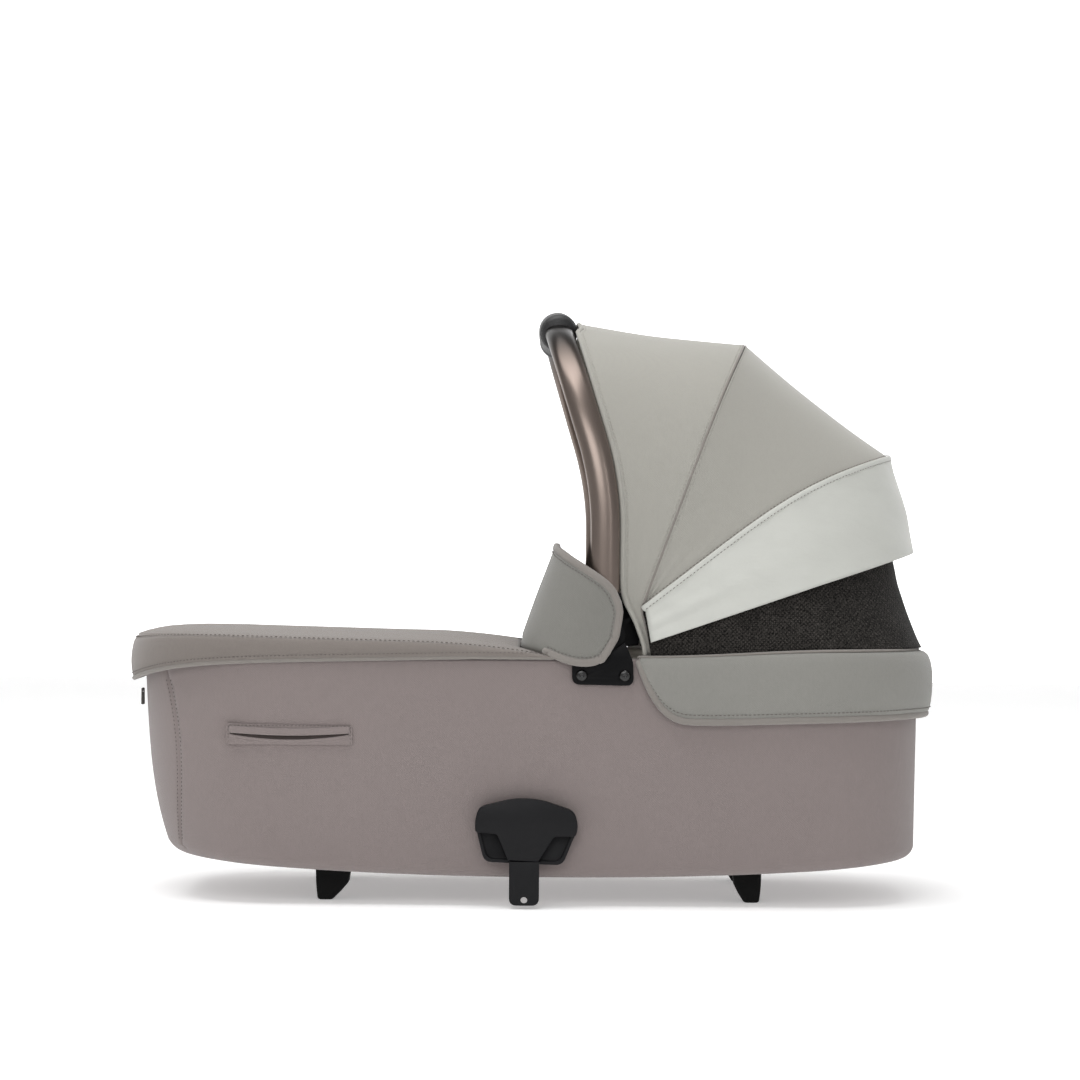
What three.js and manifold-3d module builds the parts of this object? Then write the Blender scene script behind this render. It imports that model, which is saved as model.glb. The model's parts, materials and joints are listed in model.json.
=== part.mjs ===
// A pram carrycot: a moulded tub in a sewn cover that stands on four feet or clips on a
// pushchair frame, with a folding hood on a tubular carrying handle, an apron over the
// foot end and a wind flap.
// Millimetres. +X points to the head end, +Y to the far side, +Z up, and z = 0 is the floor.

import * as THREE from 'three';
import { mergeVertices } from 'three/addons/utils/BufferGeometryUtils.js';
import Module from 'manifold-3d';

const wasm = await Module();
wasm.setup();

// ---------------------------------------------------------------- driving dimensions

const GAP = 0.3; // air between pieces that touch
const DEG = Math.PI / 180;

const BODY = {
  footEnd: 421.5, // half lengths and half width of the cover at the rim
  headEnd: 419,
  halfWidth: 213,
  cornerRadius: 130,
  rimZ: 263.5,
  floorZ: 30.3,
  bottomEdgeRadius: 12,
};

// The skins of the tub, as depths inwards from the outer face of the cover.
const SKIN = { cover: 2.6, shellOuter: 2.9, shellInner: 5.9, lip: 13.7 };
const FLOOR = { cover: 2.6, shellOuter: 4, shellInner: 7, liningOuter: 8.2, liningInner: 10.2, mattress: 11.5 };
const SHELL_TOP = 259.5;
const RIM_FRAME = { bottom: 244, top: 259.5, outer: 7.5, inner: 11.5 };
const LINING = { top: 262.5, topOuter: 14.1, topInner: 16.1, outer: 6.5, inner: 8.5 };
const MATTRESS = { thickness: 32, sideInset: 18 };

const PIVOT = { x: 76, z: 288, pinRadius: 4 };
const ARCH_POWER = 3.4; // superellipse exponent of every hood arch
const FABRIC = 2.5; // thickness of the hood panels

const HANDLE = {
  halfWidth: 208, // centre of the tube leg
  topZ: 620,
  legBottomZ: 334,
  foreAft: 15.5, // half sizes of the oval tube
  lateral: 10,
  wall: 2,
  gripHalfLength: 95,
  gripRadius: 20,
};

const HUB = { outerY: 213, innerY: 191, radius: 22, sleeveTop: 333.6, spigotTop: 362 };
const RIB = { width: 9, thickness: 3 };
const FRONT_RIB = { angle: 26.1, reach: 345, halfWidth: 193.5, eyeY: 189 };
const REAR_RIB = { reach: 358, halfWidth: 189.5, eyeY: 185.7, power: 2.9, fanRadius: 38 };

const BRACKET = { inner: 213.3, outer: 217.3, screwZ: 246.5, screwX: [52.5, 98] };

const ADAPTER = { x: -5.2, tilt: 2.2, back: 199, housingFront: 213, plateBack: 216.3, plateFront: 222 };
const TONGUE = { x: -6.5, width: 31.7, bottom: 4, join: 50, hole: { z: 9.5, radius: 3.6 } };

const FLAP = { side: 223, corner: 60, thickness: 3.5 };

// ---------------------------------------------------------------- small maths helpers

const clamp01 = (t) => Math.min(1, Math.max(0, t));
const lerp = (a, b, t) => a + (b - a) * t;
const smooth = (t) => clamp01(t) ** 2 * (3 - 2 * clamp01(t));

// A curve through [input, output] pairs, read at one input, straight beyond its ends.
function through(pairs, input) {
  let i = 1;
  while (i < pairs.length - 1 && input > pairs[i][0]) i += 1;
  const [a, b] = [pairs[i - 1], pairs[i]];
  return lerp(a[1], b[1], clamp01((input - a[0]) / (b[0] - a[0])));
}

// ---------------------------------------------------------------- mesh building helpers

const range = (n) => Array.from({ length: n + 1 }, (_, k) => k / n);

function makeGeometry(points, faces) {
  let volume = 0;
  for (const [a, b, c] of faces) volume += points[a].dot(points[b].clone().cross(points[c])) / 6;
  const outward = volume < 0 ? faces.map(([a, b, c]) => [a, c, b]) : faces;
  const geometry = new THREE.BufferGeometry();
  geometry.setAttribute('position', new THREE.Float32BufferAttribute(points.flatMap((p) => p.toArray()), 3));
  geometry.setIndex(outward.flat());
  return geometry;
}

// Skins a list of equal rings. Open lofts get a point at each end, closed ones join up.
function loft(rings, { startPoint, endPoint, closed = false }) {
  const n = rings[0].length;
  const points = rings.flat().map((p) => p.clone());
  const faces = [];
  const last = closed ? rings.length : rings.length - 1;
  for (let r = 0; r < last; r += 1) {
    for (let i = 0; i < n; i += 1) {
      const [a, b] = [r * n + i, r * n + ((i + 1) % n)];
      const [c, d] = [((r + 1) % rings.length) * n + i, ((r + 1) % rings.length) * n + ((i + 1) % n)];
      faces.push([a, b, d], [a, d, c]);
    }
  }
  if (!closed) {
    const [first, end] = [points.length, points.length + 1];
    const top = (rings.length - 1) * n;
    points.push(startPoint, endPoint);
    for (let i = 0; i < n; i += 1) {
      faces.push([first, (i + 1) % n, i], [end, top + i, top + ((i + 1) % n)]);
    }
  }
  return makeGeometry(points, faces);
}

const centreOf = (ring) => ring.reduce((s, p) => s.add(p), new THREE.Vector3()).divideScalar(ring.length);
const loftSolid = (rings) => loft(rings, { startPoint: centreOf(rings[0]), endPoint: centreOf(rings.at(-1)) });

// Sweeps a section of [across, out] pairs along points. "across" follows the side vector,
// "out" is square to both it and the path.
function sweep(path, sideAt, section, closedSection = null) {
  const frame = (k) => {
    const tangent = path[Math.min(k + 1, path.length - 1)].clone().sub(path[Math.max(k - 1, 0)]).normalize();
    const side = sideAt(k).clone();
    side.addScaledVector(tangent, -side.dot(tangent)).normalize();
    return { side, out: tangent.clone().cross(side) };
  };
  const ring = (k, shape) => {
    const { side, out } = frame(k);
    return shape.map(([u, v]) => path[k].clone().addScaledVector(side, u).addScaledVector(out, v));
  };
  const outer = path.map((_, k) => ring(k, section));
  if (!closedSection) return loftSolid(outer);
  const inner = path.map((_, k) => ring(k, closedSection)).reverse();
  return loft([...outer, ...inner], { closed: true });
}

// Thickens the grid surfaceAt(u, v) into a closed sheet, u and v running from 0 to 1.
function sheet(surfaceAt, columns, rows, thickness, uAt = (t) => t) {
  const grid = [];
  for (let i = 0; i <= columns; i += 1) {
    for (let j = 0; j <= rows; j += 1) grid.push(surfaceAt(uAt(i / columns), j / rows));
  }
  const at = (i, j) => grid[Math.min(columns, Math.max(0, i)) * (rows + 1) + Math.min(rows, Math.max(0, j))];
  const points = [];
  for (const side of [1, -1]) {
    for (let i = 0; i <= columns; i += 1) {
      for (let j = 0; j <= rows; j += 1) {
        const along = at(i + 1, j).clone().sub(at(i - 1, j));
        const up = at(i, j + 1).clone().sub(at(i, j - 1));
        const normal = along.cross(up).normalize();
        points.push(at(i, j).clone().addScaledVector(normal, (side * thickness) / 2));
      }
    }
  }
  const count = (columns + 1) * (rows + 1);
  const id = (i, j) => i * (rows + 1) + j;
  const faces = [];
  for (let i = 0; i < columns; i += 1) {
    for (let j = 0; j < rows; j += 1) {
      const [a, b, c, d] = [id(i, j), id(i + 1, j), id(i + 1, j + 1), id(i, j + 1)];
      faces.push([a, b, c], [a, c, d], [count + a, count + c, count + b], [count + a, count + d, count + c]);
    }
  }
  const edge = [];
  for (let i = 0; i < columns; i += 1) edge.push(id(i, 0));
  for (let j = 0; j < rows; j += 1) edge.push(id(columns, j));
  for (let i = columns; i > 0; i -= 1) edge.push(id(i, rows));
  for (let j = rows; j > 0; j -= 1) edge.push(id(0, j));
  edge.forEach((a, k) => {
    const b = edge[(k + 1) % edge.length];
    faces.push([a, count + b, b], [a, count + a, count + b]);
  });
  return makeGeometry(points, faces);
}

// A plate drawn in the XZ plane and running from one Y to another.
function plate(shape, fromY, toY, curveSegments = 6) {
  const depth = Math.abs(toY - fromY);
  const geometry = new THREE.ExtrudeGeometry(shape, { depth, bevelEnabled: false, curveSegments });
  geometry.rotateX(Math.PI / 2);
  geometry.translate(0, Math.max(fromY, toY), 0);
  return geometry;
}

function cylinderY(x, z, radius, fromY, toY, segments = 16) {
  const geometry = new THREE.CylinderGeometry(radius, radius, Math.abs(toY - fromY), segments);
  geometry.translate(x, (fromY + toY) / 2, z);
  return geometry;
}

function boxBetween([x0, y0, z0], [x1, y1, z1]) {
  const geometry = new THREE.BoxGeometry(Math.abs(x1 - x0), Math.abs(y1 - y0), Math.abs(z1 - z0));
  geometry.translate((x0 + x1) / 2, (y0 + y1) / 2, (z0 + z1) / 2);
  return geometry;
}

// An outline with its corners rounded, from [x, z, radius] corners.
function roundedShape(corners) {
  const shape = new THREE.Shape();
  corners.forEach(([x, z, radius], i) => {
    const here = new THREE.Vector2(x, z);
    const before = new THREE.Vector2(...corners.at(i - 1).slice(0, 2));
    const after = new THREE.Vector2(...corners[(i + 1) % corners.length].slice(0, 2));
    const reach = Math.min(radius, 0.45 * here.distanceTo(before), 0.45 * here.distanceTo(after));
    const enter = here.clone().add(before.sub(here).setLength(reach));
    const leave = here.clone().add(after.sub(here).setLength(reach));
    if (i === 0) shape.moveTo(enter.x, enter.y);
    else shape.lineTo(enter.x, enter.y);
    shape.quadraticCurveTo(x, z, leave.x, leave.y);
  });
  shape.closePath();
  return shape;
}

// ---------------------------------------------------------------- cutting and joining

function solid(geometry) {
  const bare = geometry.clone();
  bare.deleteAttribute('normal');
  bare.deleteAttribute('uv');
  const merged = mergeVertices(bare);
  return new wasm.Manifold(new wasm.Mesh({
    numProp: 3,
    vertProperties: new Float32Array(merged.attributes.position.array),
    triVerts: new Uint32Array(merged.index.array),
  }));
}

function geometryOf(manifold) {
  const mesh = manifold.getMesh();
  const geometry = new THREE.BufferGeometry();
  geometry.setAttribute('position', new THREE.Float32BufferAttribute(Array.from(mesh.vertProperties), 3));
  geometry.setIndex(Array.from(mesh.triVerts));
  return geometry;
}

const joined = (...pieces) => geometryOf(pieces.map(solid).reduce((a, b) => a.add(b)));
const cut = (piece, ...tools) => geometryOf(tools.map(solid).reduce((a, b) => a.subtract(b), solid(piece)));

function mirroredY(geometry) {
  const mirrored = mergeVertices(geometryOf(solid(geometry)));
  const { array } = mirrored.attributes.position;
  for (let i = 1; i < array.length; i += 3) array[i] = -array[i];
  const { array: order } = mirrored.index;
  for (let i = 0; i < order.length; i += 3) [order[i], order[i + 1]] = [order[i + 1], order[i]];
  return mirrored;
}

// ---------------------------------------------------------------- the body's plan and levels

// The bottom of the tub is curved like a boat's, lowest a little ahead of the middle.
const bottomSag = (x) => 12 * Math.abs((x - 20) / 330) ** 2.2;

// Points round a plan with rounded corners, starting at the head end's middle.
function planOutline({ foot, head, width, radius }) {
  const cornerSteps = 4;
  const sideSteps = 5;
  const points = [];
  const corner = (cx, cy, start) => {
    for (let k = 0; k <= cornerSteps; k += 1) {
      const a = (start + (90 * k) / cornerSteps) * DEG;
      points.push([cx + radius * Math.cos(a), cy + radius * Math.sin(a)]);
    }
  };
  const side = (y, fromX, toX) => {
    for (let k = 1; k < sideSteps; k += 1) points.push([lerp(fromX, toX, k / sideSteps), y]);
  };
  points.push([head, 0]);
  corner(head - radius, width - radius, 0);
  side(width, head - radius, -foot + radius);
  corner(-foot + radius, width - radius, 90);
  points.push([-foot, 0]);
  corner(-foot + radius, -(width - radius), 180);
  side(-width, -foot + radius, head - radius);
  corner(head - radius, -(width - radius), 270);
  return points;
}

// One level of the body. down is 0 at the rim and 1 at the floor, inset is measured
// inwards from the outer face of the cover.
function bodyPlan(down, inset) {
  return planOutline({
    foot: BODY.footEnd - 11.9 * down - 18.5 * down ** 4 - inset,
    head: BODY.headEnd - 2 * down - inset,
    width: BODY.halfWidth - 8 * down - 12 * down ** 3 - inset,
    radius: BODY.cornerRadius - 12 * down - inset,
  });
}

function bodyRing(down, inset, topZ, lift = 0) {
  return bodyPlan(down, inset).map(([x, y]) => (
    new THREE.Vector3(x, y, lerp(topZ, BODY.floorZ + bottomSag(x) + lift, down))
  ));
}

// The rings of one side of a tub-shaped skin, from the middle of the floor up to the rim.
function tubRings(insetAt, topZ, floorInset) {
  const rings = [];
  const radius = BODY.bottomEdgeRadius - floorInset * 0.6;
  const edgeDown = 1 - BODY.bottomEdgeRadius / (BODY.rimZ - BODY.floorZ);
  const onFloor = (scale) => bodyPlan(1, insetAt(1) + radius).map(([x, y]) => (
    new THREE.Vector3(x * scale, y * scale, BODY.floorZ + floorInset + bottomSag(x * scale))
  ));
  rings.push(onFloor(0.5), onFloor(1));
  rings.push(bodyPlan(1, insetAt(1) + radius * 0.3).map(([x, y]) => (
    new THREE.Vector3(x, y, BODY.floorZ + floorInset + radius * 0.3 + bottomSag(x))
  )));
  for (const down of [edgeDown, 0.7, 0.3, 0]) {
    rings.push(bodyRing(down, insetAt(down), topZ, floorInset * 0.5));
  }
  return rings;
}

// A tub with a floor and an open top: an outer skin joined to an inner one at the rim.
function tub(outerInsetAt, innerInsetAt, { topZ, outerFloor, innerFloor, lip = [] }) {
  const outer = tubRings(outerInsetAt, topZ, outerFloor);
  const inner = tubRings(innerInsetAt, topZ, innerFloor).reverse();
  const middle = (floorInset) => new THREE.Vector3(0, 0, BODY.floorZ + floorInset + bottomSag(0));
  return loft([...outer, ...lip, ...inner], { startPoint: middle(outerFloor), endPoint: middle(innerFloor) });
}

// ---------------------------------------------------------------- tub, cover and padding

const nodes = [];
function add(name, geometry, material) {
  nodes.push({ name, geometry, material });
}

const MATERIALS = {
  cover: new THREE.MeshStandardMaterial({ color: 0x8d8381, roughness: 0.85, metalness: 0 }),
  hood: new THREE.MeshStandardMaterial({ color: 0xa39c94, roughness: 0.85, metalness: 0 }),
  vent: new THREE.MeshStandardMaterial({ color: 0xcbccc6, roughness: 0.55, metalness: 0 }),
  net: new THREE.MeshStandardMaterial({ color: 0x2a2928, roughness: 0.9, metalness: 0 }),
  lining: new THREE.MeshStandardMaterial({ color: 0xb9b4ad, roughness: 0.9, metalness: 0 }),
  mattress: new THREE.MeshStandardMaterial({ color: 0xe4e1da, roughness: 0.9, metalness: 0 }),
  shell: new THREE.MeshStandardMaterial({ color: 0x2b2b2b, roughness: 0.6, metalness: 0 }),
  blackPlastic: new THREE.MeshStandardMaterial({ color: 0x1d1d1e, roughness: 0.4, metalness: 0 }),
  bronzeTube: new THREE.MeshStandardMaterial({ color: 0x83776f, roughness: 0.35, metalness: 0.9 }),
  grip: new THREE.MeshStandardMaterial({ color: 0x141414, roughness: 0.6, metalness: 0 }),
  steel: new THREE.MeshStandardMaterial({ color: 0x9a9a9a, roughness: 0.3, metalness: 1 }),
  rubber: new THREE.MeshStandardMaterial({ color: 0x101010, roughness: 0.8, metalness: 0 }),
};

// The adapter housing's outline, about the middle of its top half.
const HOUSING_CORNERS = [
  [-42.5, 47.5, 8], [40.5, 47.5, 8], [55, 88, 16], [51, 105, 12], [14, 116, 22], [-14, 116, 22], [-51, 105, 12],
  [-54, 88, 16],
];

function housingShape(grow) {
  const middle = { x: 0, z: 82 };
  return roundedShape(HOUSING_CORNERS.map(([x, z, r]) => [
    ADAPTER.x + x * (1 + grow / 52),
    middle.z + (z - middle.z) * (1 + grow / 34),
    r,
  ]));
}

function tilted(geometry) {
  const z = 82;
  return geometry.translate(-ADAPTER.x, 0, -z).rotateY(ADAPTER.tilt * DEG).translate(ADAPTER.x, 0, z);
}

function screwHoles(radius, fromY, toY) {
  return BRACKET.screwX.flatMap((x) => [1, -1].map((s) => (
    cylinderY(x, BRACKET.screwZ, radius, s * fromY, s * toY, 12)
  )));
}

function outerCover() {
  const lip = [
    bodyRing(0, 3, BODY.rimZ), bodyRing(0, SKIN.lip, BODY.rimZ),
    bodyRing(0, SKIN.lip, SHELL_TOP + GAP), bodyRing(0, SKIN.cover, SHELL_TOP + GAP),
  ];
  const skin = tub(() => 0, () => SKIN.cover, { topZ: 260, outerFloor: 0, innerFloor: FLOOR.cover, lip });
  const openings = [1, -1].map((s) => tilted(plate(housingShape(0.6), s * 190, s * 225, 4)));
  return cut(skin, ...openings, ...screwHoles(3.4, 200, 216));
}

function tubShell() {
  const shell = tub(() => SKIN.shellOuter, () => SKIN.shellInner, {
    topZ: SHELL_TOP, outerFloor: FLOOR.shellOuter, innerFloor: FLOOR.shellInner,
  });
  return cut(shell, ...screwHoles(2.8, 200, 216));
}

function rimFrame() {
  const level = (inset, z) => bodyPlan(0, inset).map(([x, y]) => new THREE.Vector3(x, y, z));
  return loft([
    level(RIM_FRAME.outer, RIM_FRAME.bottom), level(RIM_FRAME.outer, RIM_FRAME.top),
    level(RIM_FRAME.inner, RIM_FRAME.top), level(RIM_FRAME.inner, RIM_FRAME.bottom),
  ], { closed: true });
}

function innerLining() {
  const near = (top, wall) => (down) => lerp(top, wall, smooth(down / 0.4));
  return tub(near(LINING.topOuter, LINING.outer), near(LINING.topInner, LINING.inner), {
    topZ: LINING.top, outerFloor: FLOOR.liningOuter, innerFloor: FLOOR.liningInner,
  });
}

function mattress() {
  const base = FLOOR.mattress;
  const level = (inset, lift, scale = 1) => bodyPlan(0.9, inset).map(([x, y]) => (
    new THREE.Vector3(x * scale, y * scale, BODY.floorZ + bottomSag(x * scale) + lift)
  ));
  const inset = MATTRESS.sideInset;
  const top = base + MATTRESS.thickness;
  const rings = [
    level(inset + 7, base, 0.5), level(inset + 7, base), level(inset, base + 9), level(inset, top - 11),
    level(inset + 9, top - 2), level(inset + 9, top, 0.5),
  ];
  return loftSolid(rings);
}

add('tub_shell', tubShell(), MATERIALS.shell);
add('rim_frame', rimFrame(), MATERIALS.bronzeTube);
add('outer_cover', outerCover(), MATERIALS.cover);
add('inner_lining', innerLining(), MATERIALS.lining);
add('mattress', mattress(), MATERIALS.mattress);

// ---------------------------------------------------------------- feet

// Each foot is a tapered block whose flank towards the middle of the tub leans outwards.
function foot({ x, outward, flare }) {
  const y = { near: -137, far: -103 };
  const outline = (z, outerHalf, innerHalf, shrink) => {
    const [x0, x1] = [x + outward * outerHalf, x - outward * innerHalf];
    return roundedShape([
      [Math.min(x0, x1), y.near + shrink, 4], [Math.max(x0, x1), y.near + shrink, 4],
      [Math.max(x0, x1), y.far - shrink, 4], [Math.min(x0, x1), y.far - shrink, 4],
    ]).getPoints(2).slice(0, -1).map((p) => new THREE.Vector3(p.x, p.y, z(p.x)));
  };
  const under = (px) => BODY.floorZ + bottomSag(px) - GAP - 0.6;
  return loftSolid([
    outline(() => 0, 7, 7, 4), outline(() => 1.6, 8.6, 8.8, 2), outline(() => 10, 9.6, 10 + flare * 0.45, 1),
    outline(() => 19, 10.3, 10.4 + flare * 0.9, 0), outline(under, 10.8, 10.8 + flare, 0),
  ]);
}

const FEET = { foot_end: { x: -220.5, outward: -1, flare: 16 }, head_end: { x: 238, outward: 1, flare: 9 } };
for (const [end, place] of Object.entries(FEET)) {
  add(`rubber_foot_${end}_near`, foot(place), MATERIALS.rubber);
  add(`rubber_foot_${end}_far`, mirroredY(foot(place)), MATERIALS.rubber);
}

// ---------------------------------------------------------------- frame adapters

// A coil spring round an axis, from one end to the other.
function coilSpring(start, axis, length, radius, wire, turns) {
  const stepsPerTurn = 7;
  const up = axis.clone().normalize();
  const across = new THREE.Vector3(1, 0, 0);
  const other = up.clone().cross(across);
  const path = [];
  for (let k = 0; k <= turns * stepsPerTurn; k += 1) {
    const a = (2 * Math.PI * k) / stepsPerTurn;
    const rise = wire + ((length - 2 * wire) * k) / (turns * stepsPerTurn);
    path.push(start.clone().addScaledVector(up, rise)
      .addScaledVector(across, radius * Math.cos(a)).addScaledVector(other, radius * Math.sin(a)));
  }
  const section = oval(wire, wire, 4);
  return sweep(path, () => up, section);
}

// The seat of the adapter follows the tub's wall, so the wall is cut out of its back.
function againstShell(geometry) {
  const wall = loftSolid(tubRings(() => SKIN.shellOuter - GAP, SHELL_TOP, 0));
  return cut(geometry, wall);
}

function adapterHousing() {
  const block = tilted(plate(housingShape(0), -ADAPTER.housingFront, -190, 5));
  const pocket = tilted(plate(housingShape(-3.6), -ADAPTER.housingFront - 1, -(ADAPTER.back + 8.6), 5));
  const seated = againstShell(block);
  return cut(seated, pocket);
}

function adapterTongue() {
  const { x, width, bottom, join, hole } = TONGUE;
  const half = width / 2;
  const front = plate(roundedShape([
    [x - half, bottom, 8], [x + half, bottom, 8], [x + half, join, 0.5], [x - half, join, 0.5],
  ]), -(ADAPTER.plateFront - 0.4), -(ADAPTER.housingFront + GAP));
  const bridge = boxBetween([x - 13, -216, join - 2.2], [x + 13, -(ADAPTER.housingFront + GAP), 56]);
  const root = boxBetween([x - 13, -216, 54], [x + 13, -210, 78]);
  return cut(joined(front, bridge, root), cylinderY(x, hole.z, hole.radius, -225, -205, 14));
}

function releaseTrigger() {
  const x = ADAPTER.x;
  const half = TONGUE.width / 2;
  const stem = TONGUE.x - x;
  const face = roundedShape([
    [x + stem - half, 51, 0.6], [x + stem + half, 51, 0.6], [x + 30, 78, 3], [x + 53, 79, 3], [x + 55, 90, 8],
    [x + 51, 105, 10], [x + 14, 116.5, 22], [x - 14, 116.5, 22], [x - 51, 105, 10], [x - 54, 90, 8], [x - 53, 79, 3],
    [x - 30, 78, 3],
  ]);
  const boss = boxBetween([x - 7, -ADAPTER.plateBack - 1, 84], [x + 7, -208.6, 88]);
  return joined(tilted(plate(face, -ADAPTER.plateFront, -ADAPTER.plateBack, 5)), tilted(boss));
}

const triggerSpring = () => tilted(coilSpring(
  new THREE.Vector3(ADAPTER.x, -212, 88.3), new THREE.Vector3(0, 0, 1), 18.8, 2.6, 0.5, 4,
));

for (const [side, place] of [['near', (g) => g], ['far', mirroredY]]) {
  add(`adapter_housing_${side}`, place(adapterHousing()), MATERIALS.blackPlastic);
  add(`adapter_tongue_${side}`, place(adapterTongue()), MATERIALS.blackPlastic);
  add(`release_trigger_${side}`, place(releaseTrigger()), MATERIALS.blackPlastic);
  add(`trigger_spring_${side}`, place(triggerSpring()), MATERIALS.steel);
}

// ---------------------------------------------------------------- hood pivots

function hoodBracket() {
  const base = plate(roundedShape([
    [42.3, 237, 9], [107.6, 236, 9], [106.5, 262, 4], [97.9, 281.5, 0.8], [86.4, 273, 3], [64, 276, 3], [42.3, 264, 4],
  ]), -BRACKET.outer, -BRACKET.inner);
  const lug = cylinderY(PIVOT.x, PIVOT.z, 12, -BRACKET.outer, -BRACKET.inner, 20);
  const web = boxBetween([66, -BRACKET.outer, 262], [86, -BRACKET.inner, PIVOT.z]);
  const bore = cylinderY(PIVOT.x, PIVOT.z, PIVOT.pinRadius + GAP, -225, -205);
  const holes = BRACKET.screwX.map((x) => cylinderY(x, BRACKET.screwZ, 2.8, -225, -205, 12));
  return cut(joined(base, web, lug), bore, ...holes);
}

// A pan-head screw: a domed head with a hexagonal socket, and a shank through the tub wall.
function bracketScrew(x) {
  const profile = [[0, 0], [2.5, 0], [2.5, 11.4], [6.2, 11.4], [6.2, 12.5], [5, 13.9], [2.6, 14.3], [0, 14.3]];
  const screw = new THREE.LatheGeometry(profile.map(([r, h]) => new THREE.Vector2(r, h)), 14);
  screw.rotateX(Math.PI);
  screw.translate(x, -(BRACKET.outer + GAP) + 11.4, BRACKET.screwZ);
  const socket = new THREE.CylinderGeometry(2.2, 2.2, 4, 6);
  socket.translate(x, -(BRACKET.outer + GAP) - 3, BRACKET.screwZ);
  return cut(screw, socket);
}

function pivotPin() {
  const shank = cylinderY(PIVOT.x, PIVOT.z, PIVOT.pinRadius, -(BRACKET.outer + 0.6), -181);
  const head = new THREE.CylinderGeometry(6.4, 8, 2.4, 20);
  head.rotateX(Math.PI);
  head.translate(PIVOT.x, -(BRACKET.outer + GAP + 1.2), PIVOT.z);
  return joined(shank, head);
}

function pinCap() {
  const cap = cylinderY(PIVOT.x, PIVOT.z, 9, -183.8, -178, 20);
  return cut(cap, cylinderY(PIVOT.x, PIVOT.z, PIVOT.pinRadius + GAP, -190, -180.4));
}

const FOLD_BUTTON = { z: 322.5, radius: 6.5, travel: 3 };

function hingeHub() {
  const disc = cylinderY(PIVOT.x, PIVOT.z, HUB.radius, -HUB.outerY, -HUB.innerY, 28);
  const neck = boxBetween([PIVOT.x - 16, -HUB.outerY, PIVOT.z + 8], [PIVOT.x + 16, -196, PIVOT.z + 30]);
  const sleeveFoot = PIVOT.z + 24.5;
  const sleeve = plate(roundedShape([
    [PIVOT.x - 17.5, sleeveFoot, 4], [PIVOT.x + 17.5, sleeveFoot, 4], [PIVOT.x + 17.5, HUB.sleeveTop, 1],
    [PIVOT.x - 17.5, HUB.sleeveTop, 1],
  ]), -219.3, -196);
  const spigot = plate(roundedShape([
    [PIVOT.x - 9.5, HUB.sleeveTop - 3, 1], [PIVOT.x + 9.5, HUB.sleeveTop - 3, 1],
    [PIVOT.x + 9.5, HUB.spigotTop, 3], [PIVOT.x - 9.5, HUB.spigotTop, 3],
  ]), -HANDLE.halfWidth - 4.5, -HANDLE.halfWidth + 4.5);
  const bore = cylinderY(PIVOT.x, PIVOT.z, PIVOT.pinRadius + GAP, -225, -180);
  const buttonWell = cylinderY(PIVOT.x, FOLD_BUTTON.z, FOLD_BUTTON.radius + GAP, -208.6, -190, 20);
  return cut(joined(disc, neck, sleeve, spigot), bore, buttonWell);
}

function foldButton() {
  const cap = new THREE.CylinderGeometry(FOLD_BUTTON.radius, FOLD_BUTTON.radius, 7, 20);
  cap.translate(PIVOT.x, -195.9, FOLD_BUTTON.z);
  const dish = new THREE.SphereGeometry(14, 20, 12);
  dish.translate(PIVOT.x, -179.4, FOLD_BUTTON.z);
  return cut(cap, dish);
}

const buttonSpring = () => coilSpring(
  new THREE.Vector3(PIVOT.x, -199.8, FOLD_BUTTON.z), new THREE.Vector3(0, -1, 0), 8.2, 3.4, 0.5, 3,
);

for (const [side, place] of [['near', (g) => g], ['far', mirroredY]]) {
  add(`hood_bracket_${side}`, place(hoodBracket()), MATERIALS.blackPlastic);
  BRACKET.screwX.forEach((x, k) => add(`bracket_screw_${side}_${k + 1}`, place(bracketScrew(x)), MATERIALS.steel));
  add(`pivot_pin_${side}`, place(pivotPin()), MATERIALS.steel);
  add(`pin_cap_${side}`, place(pinCap()), MATERIALS.blackPlastic);
  add(`hinge_hub_${side}`, place(hingeHub()), MATERIALS.blackPlastic);
  add(`fold_button_${side}`, place(foldButton()), MATERIALS.blackPlastic);
  add(`button_spring_${side}`, place(buttonSpring()), MATERIALS.steel);
}

// ---------------------------------------------------------------- handle

// Seen from the side the handle's legs stand upright and its top leans to the foot end.
function handleX(z) {
  const bendStart = 400;
  const bendEnd = 500;
  const lean = 0.305;
  if (z < bendStart) return 76.5;
  if (z < bendEnd) return 76.5 - (lean * (z - bendStart) ** 2) / (2 * (bendEnd - bendStart));
  return 76.5 - lean * ((bendEnd - bendStart) / 2 + z - bendEnd);
}

// An arch over the pivots. Points come back evenly spaced along it, from the near foot
// to the far one.
function arch({ halfWidth, topZ, footZ, xAt }) {
  const fine = [];
  const steps = 720;
  for (let k = 0; k <= steps; k += 1) {
    const a = (Math.PI * k) / steps;
    const y = -halfWidth * Math.sign(Math.cos(a)) * Math.abs(Math.cos(a)) ** (2 / ARCH_POWER);
    const z = PIVOT.z + (topZ - PIVOT.z) * Math.sin(a) ** (2 / ARCH_POWER);
    if (z >= footZ) fine.push(new THREE.Vector3(xAt(z), y, z));
  }
  for (let z = Math.min(PIVOT.z, fine[0].z); z >= footZ; z -= 4) {
    fine.unshift(new THREE.Vector3(xAt(z), -halfWidth, z));
    fine.push(new THREE.Vector3(xAt(z), halfWidth, z));
  }
  const lengths = [0];
  for (let k = 1; k < fine.length; k += 1) lengths.push(lengths[k - 1] + fine[k].distanceTo(fine[k - 1]));
  return (t) => {
    const wanted = clamp01(t) * lengths.at(-1);
    let k = 1;
    while (k < lengths.length - 1 && lengths[k] < wanted) k += 1;
    const share = (wanted - lengths[k - 1]) / (lengths[k] - lengths[k - 1] || 1);
    return fine[k - 1].clone().lerp(fine[k], share);
  };
}

const foreAftAxis = () => new THREE.Vector3(1, 0, 0);

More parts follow.
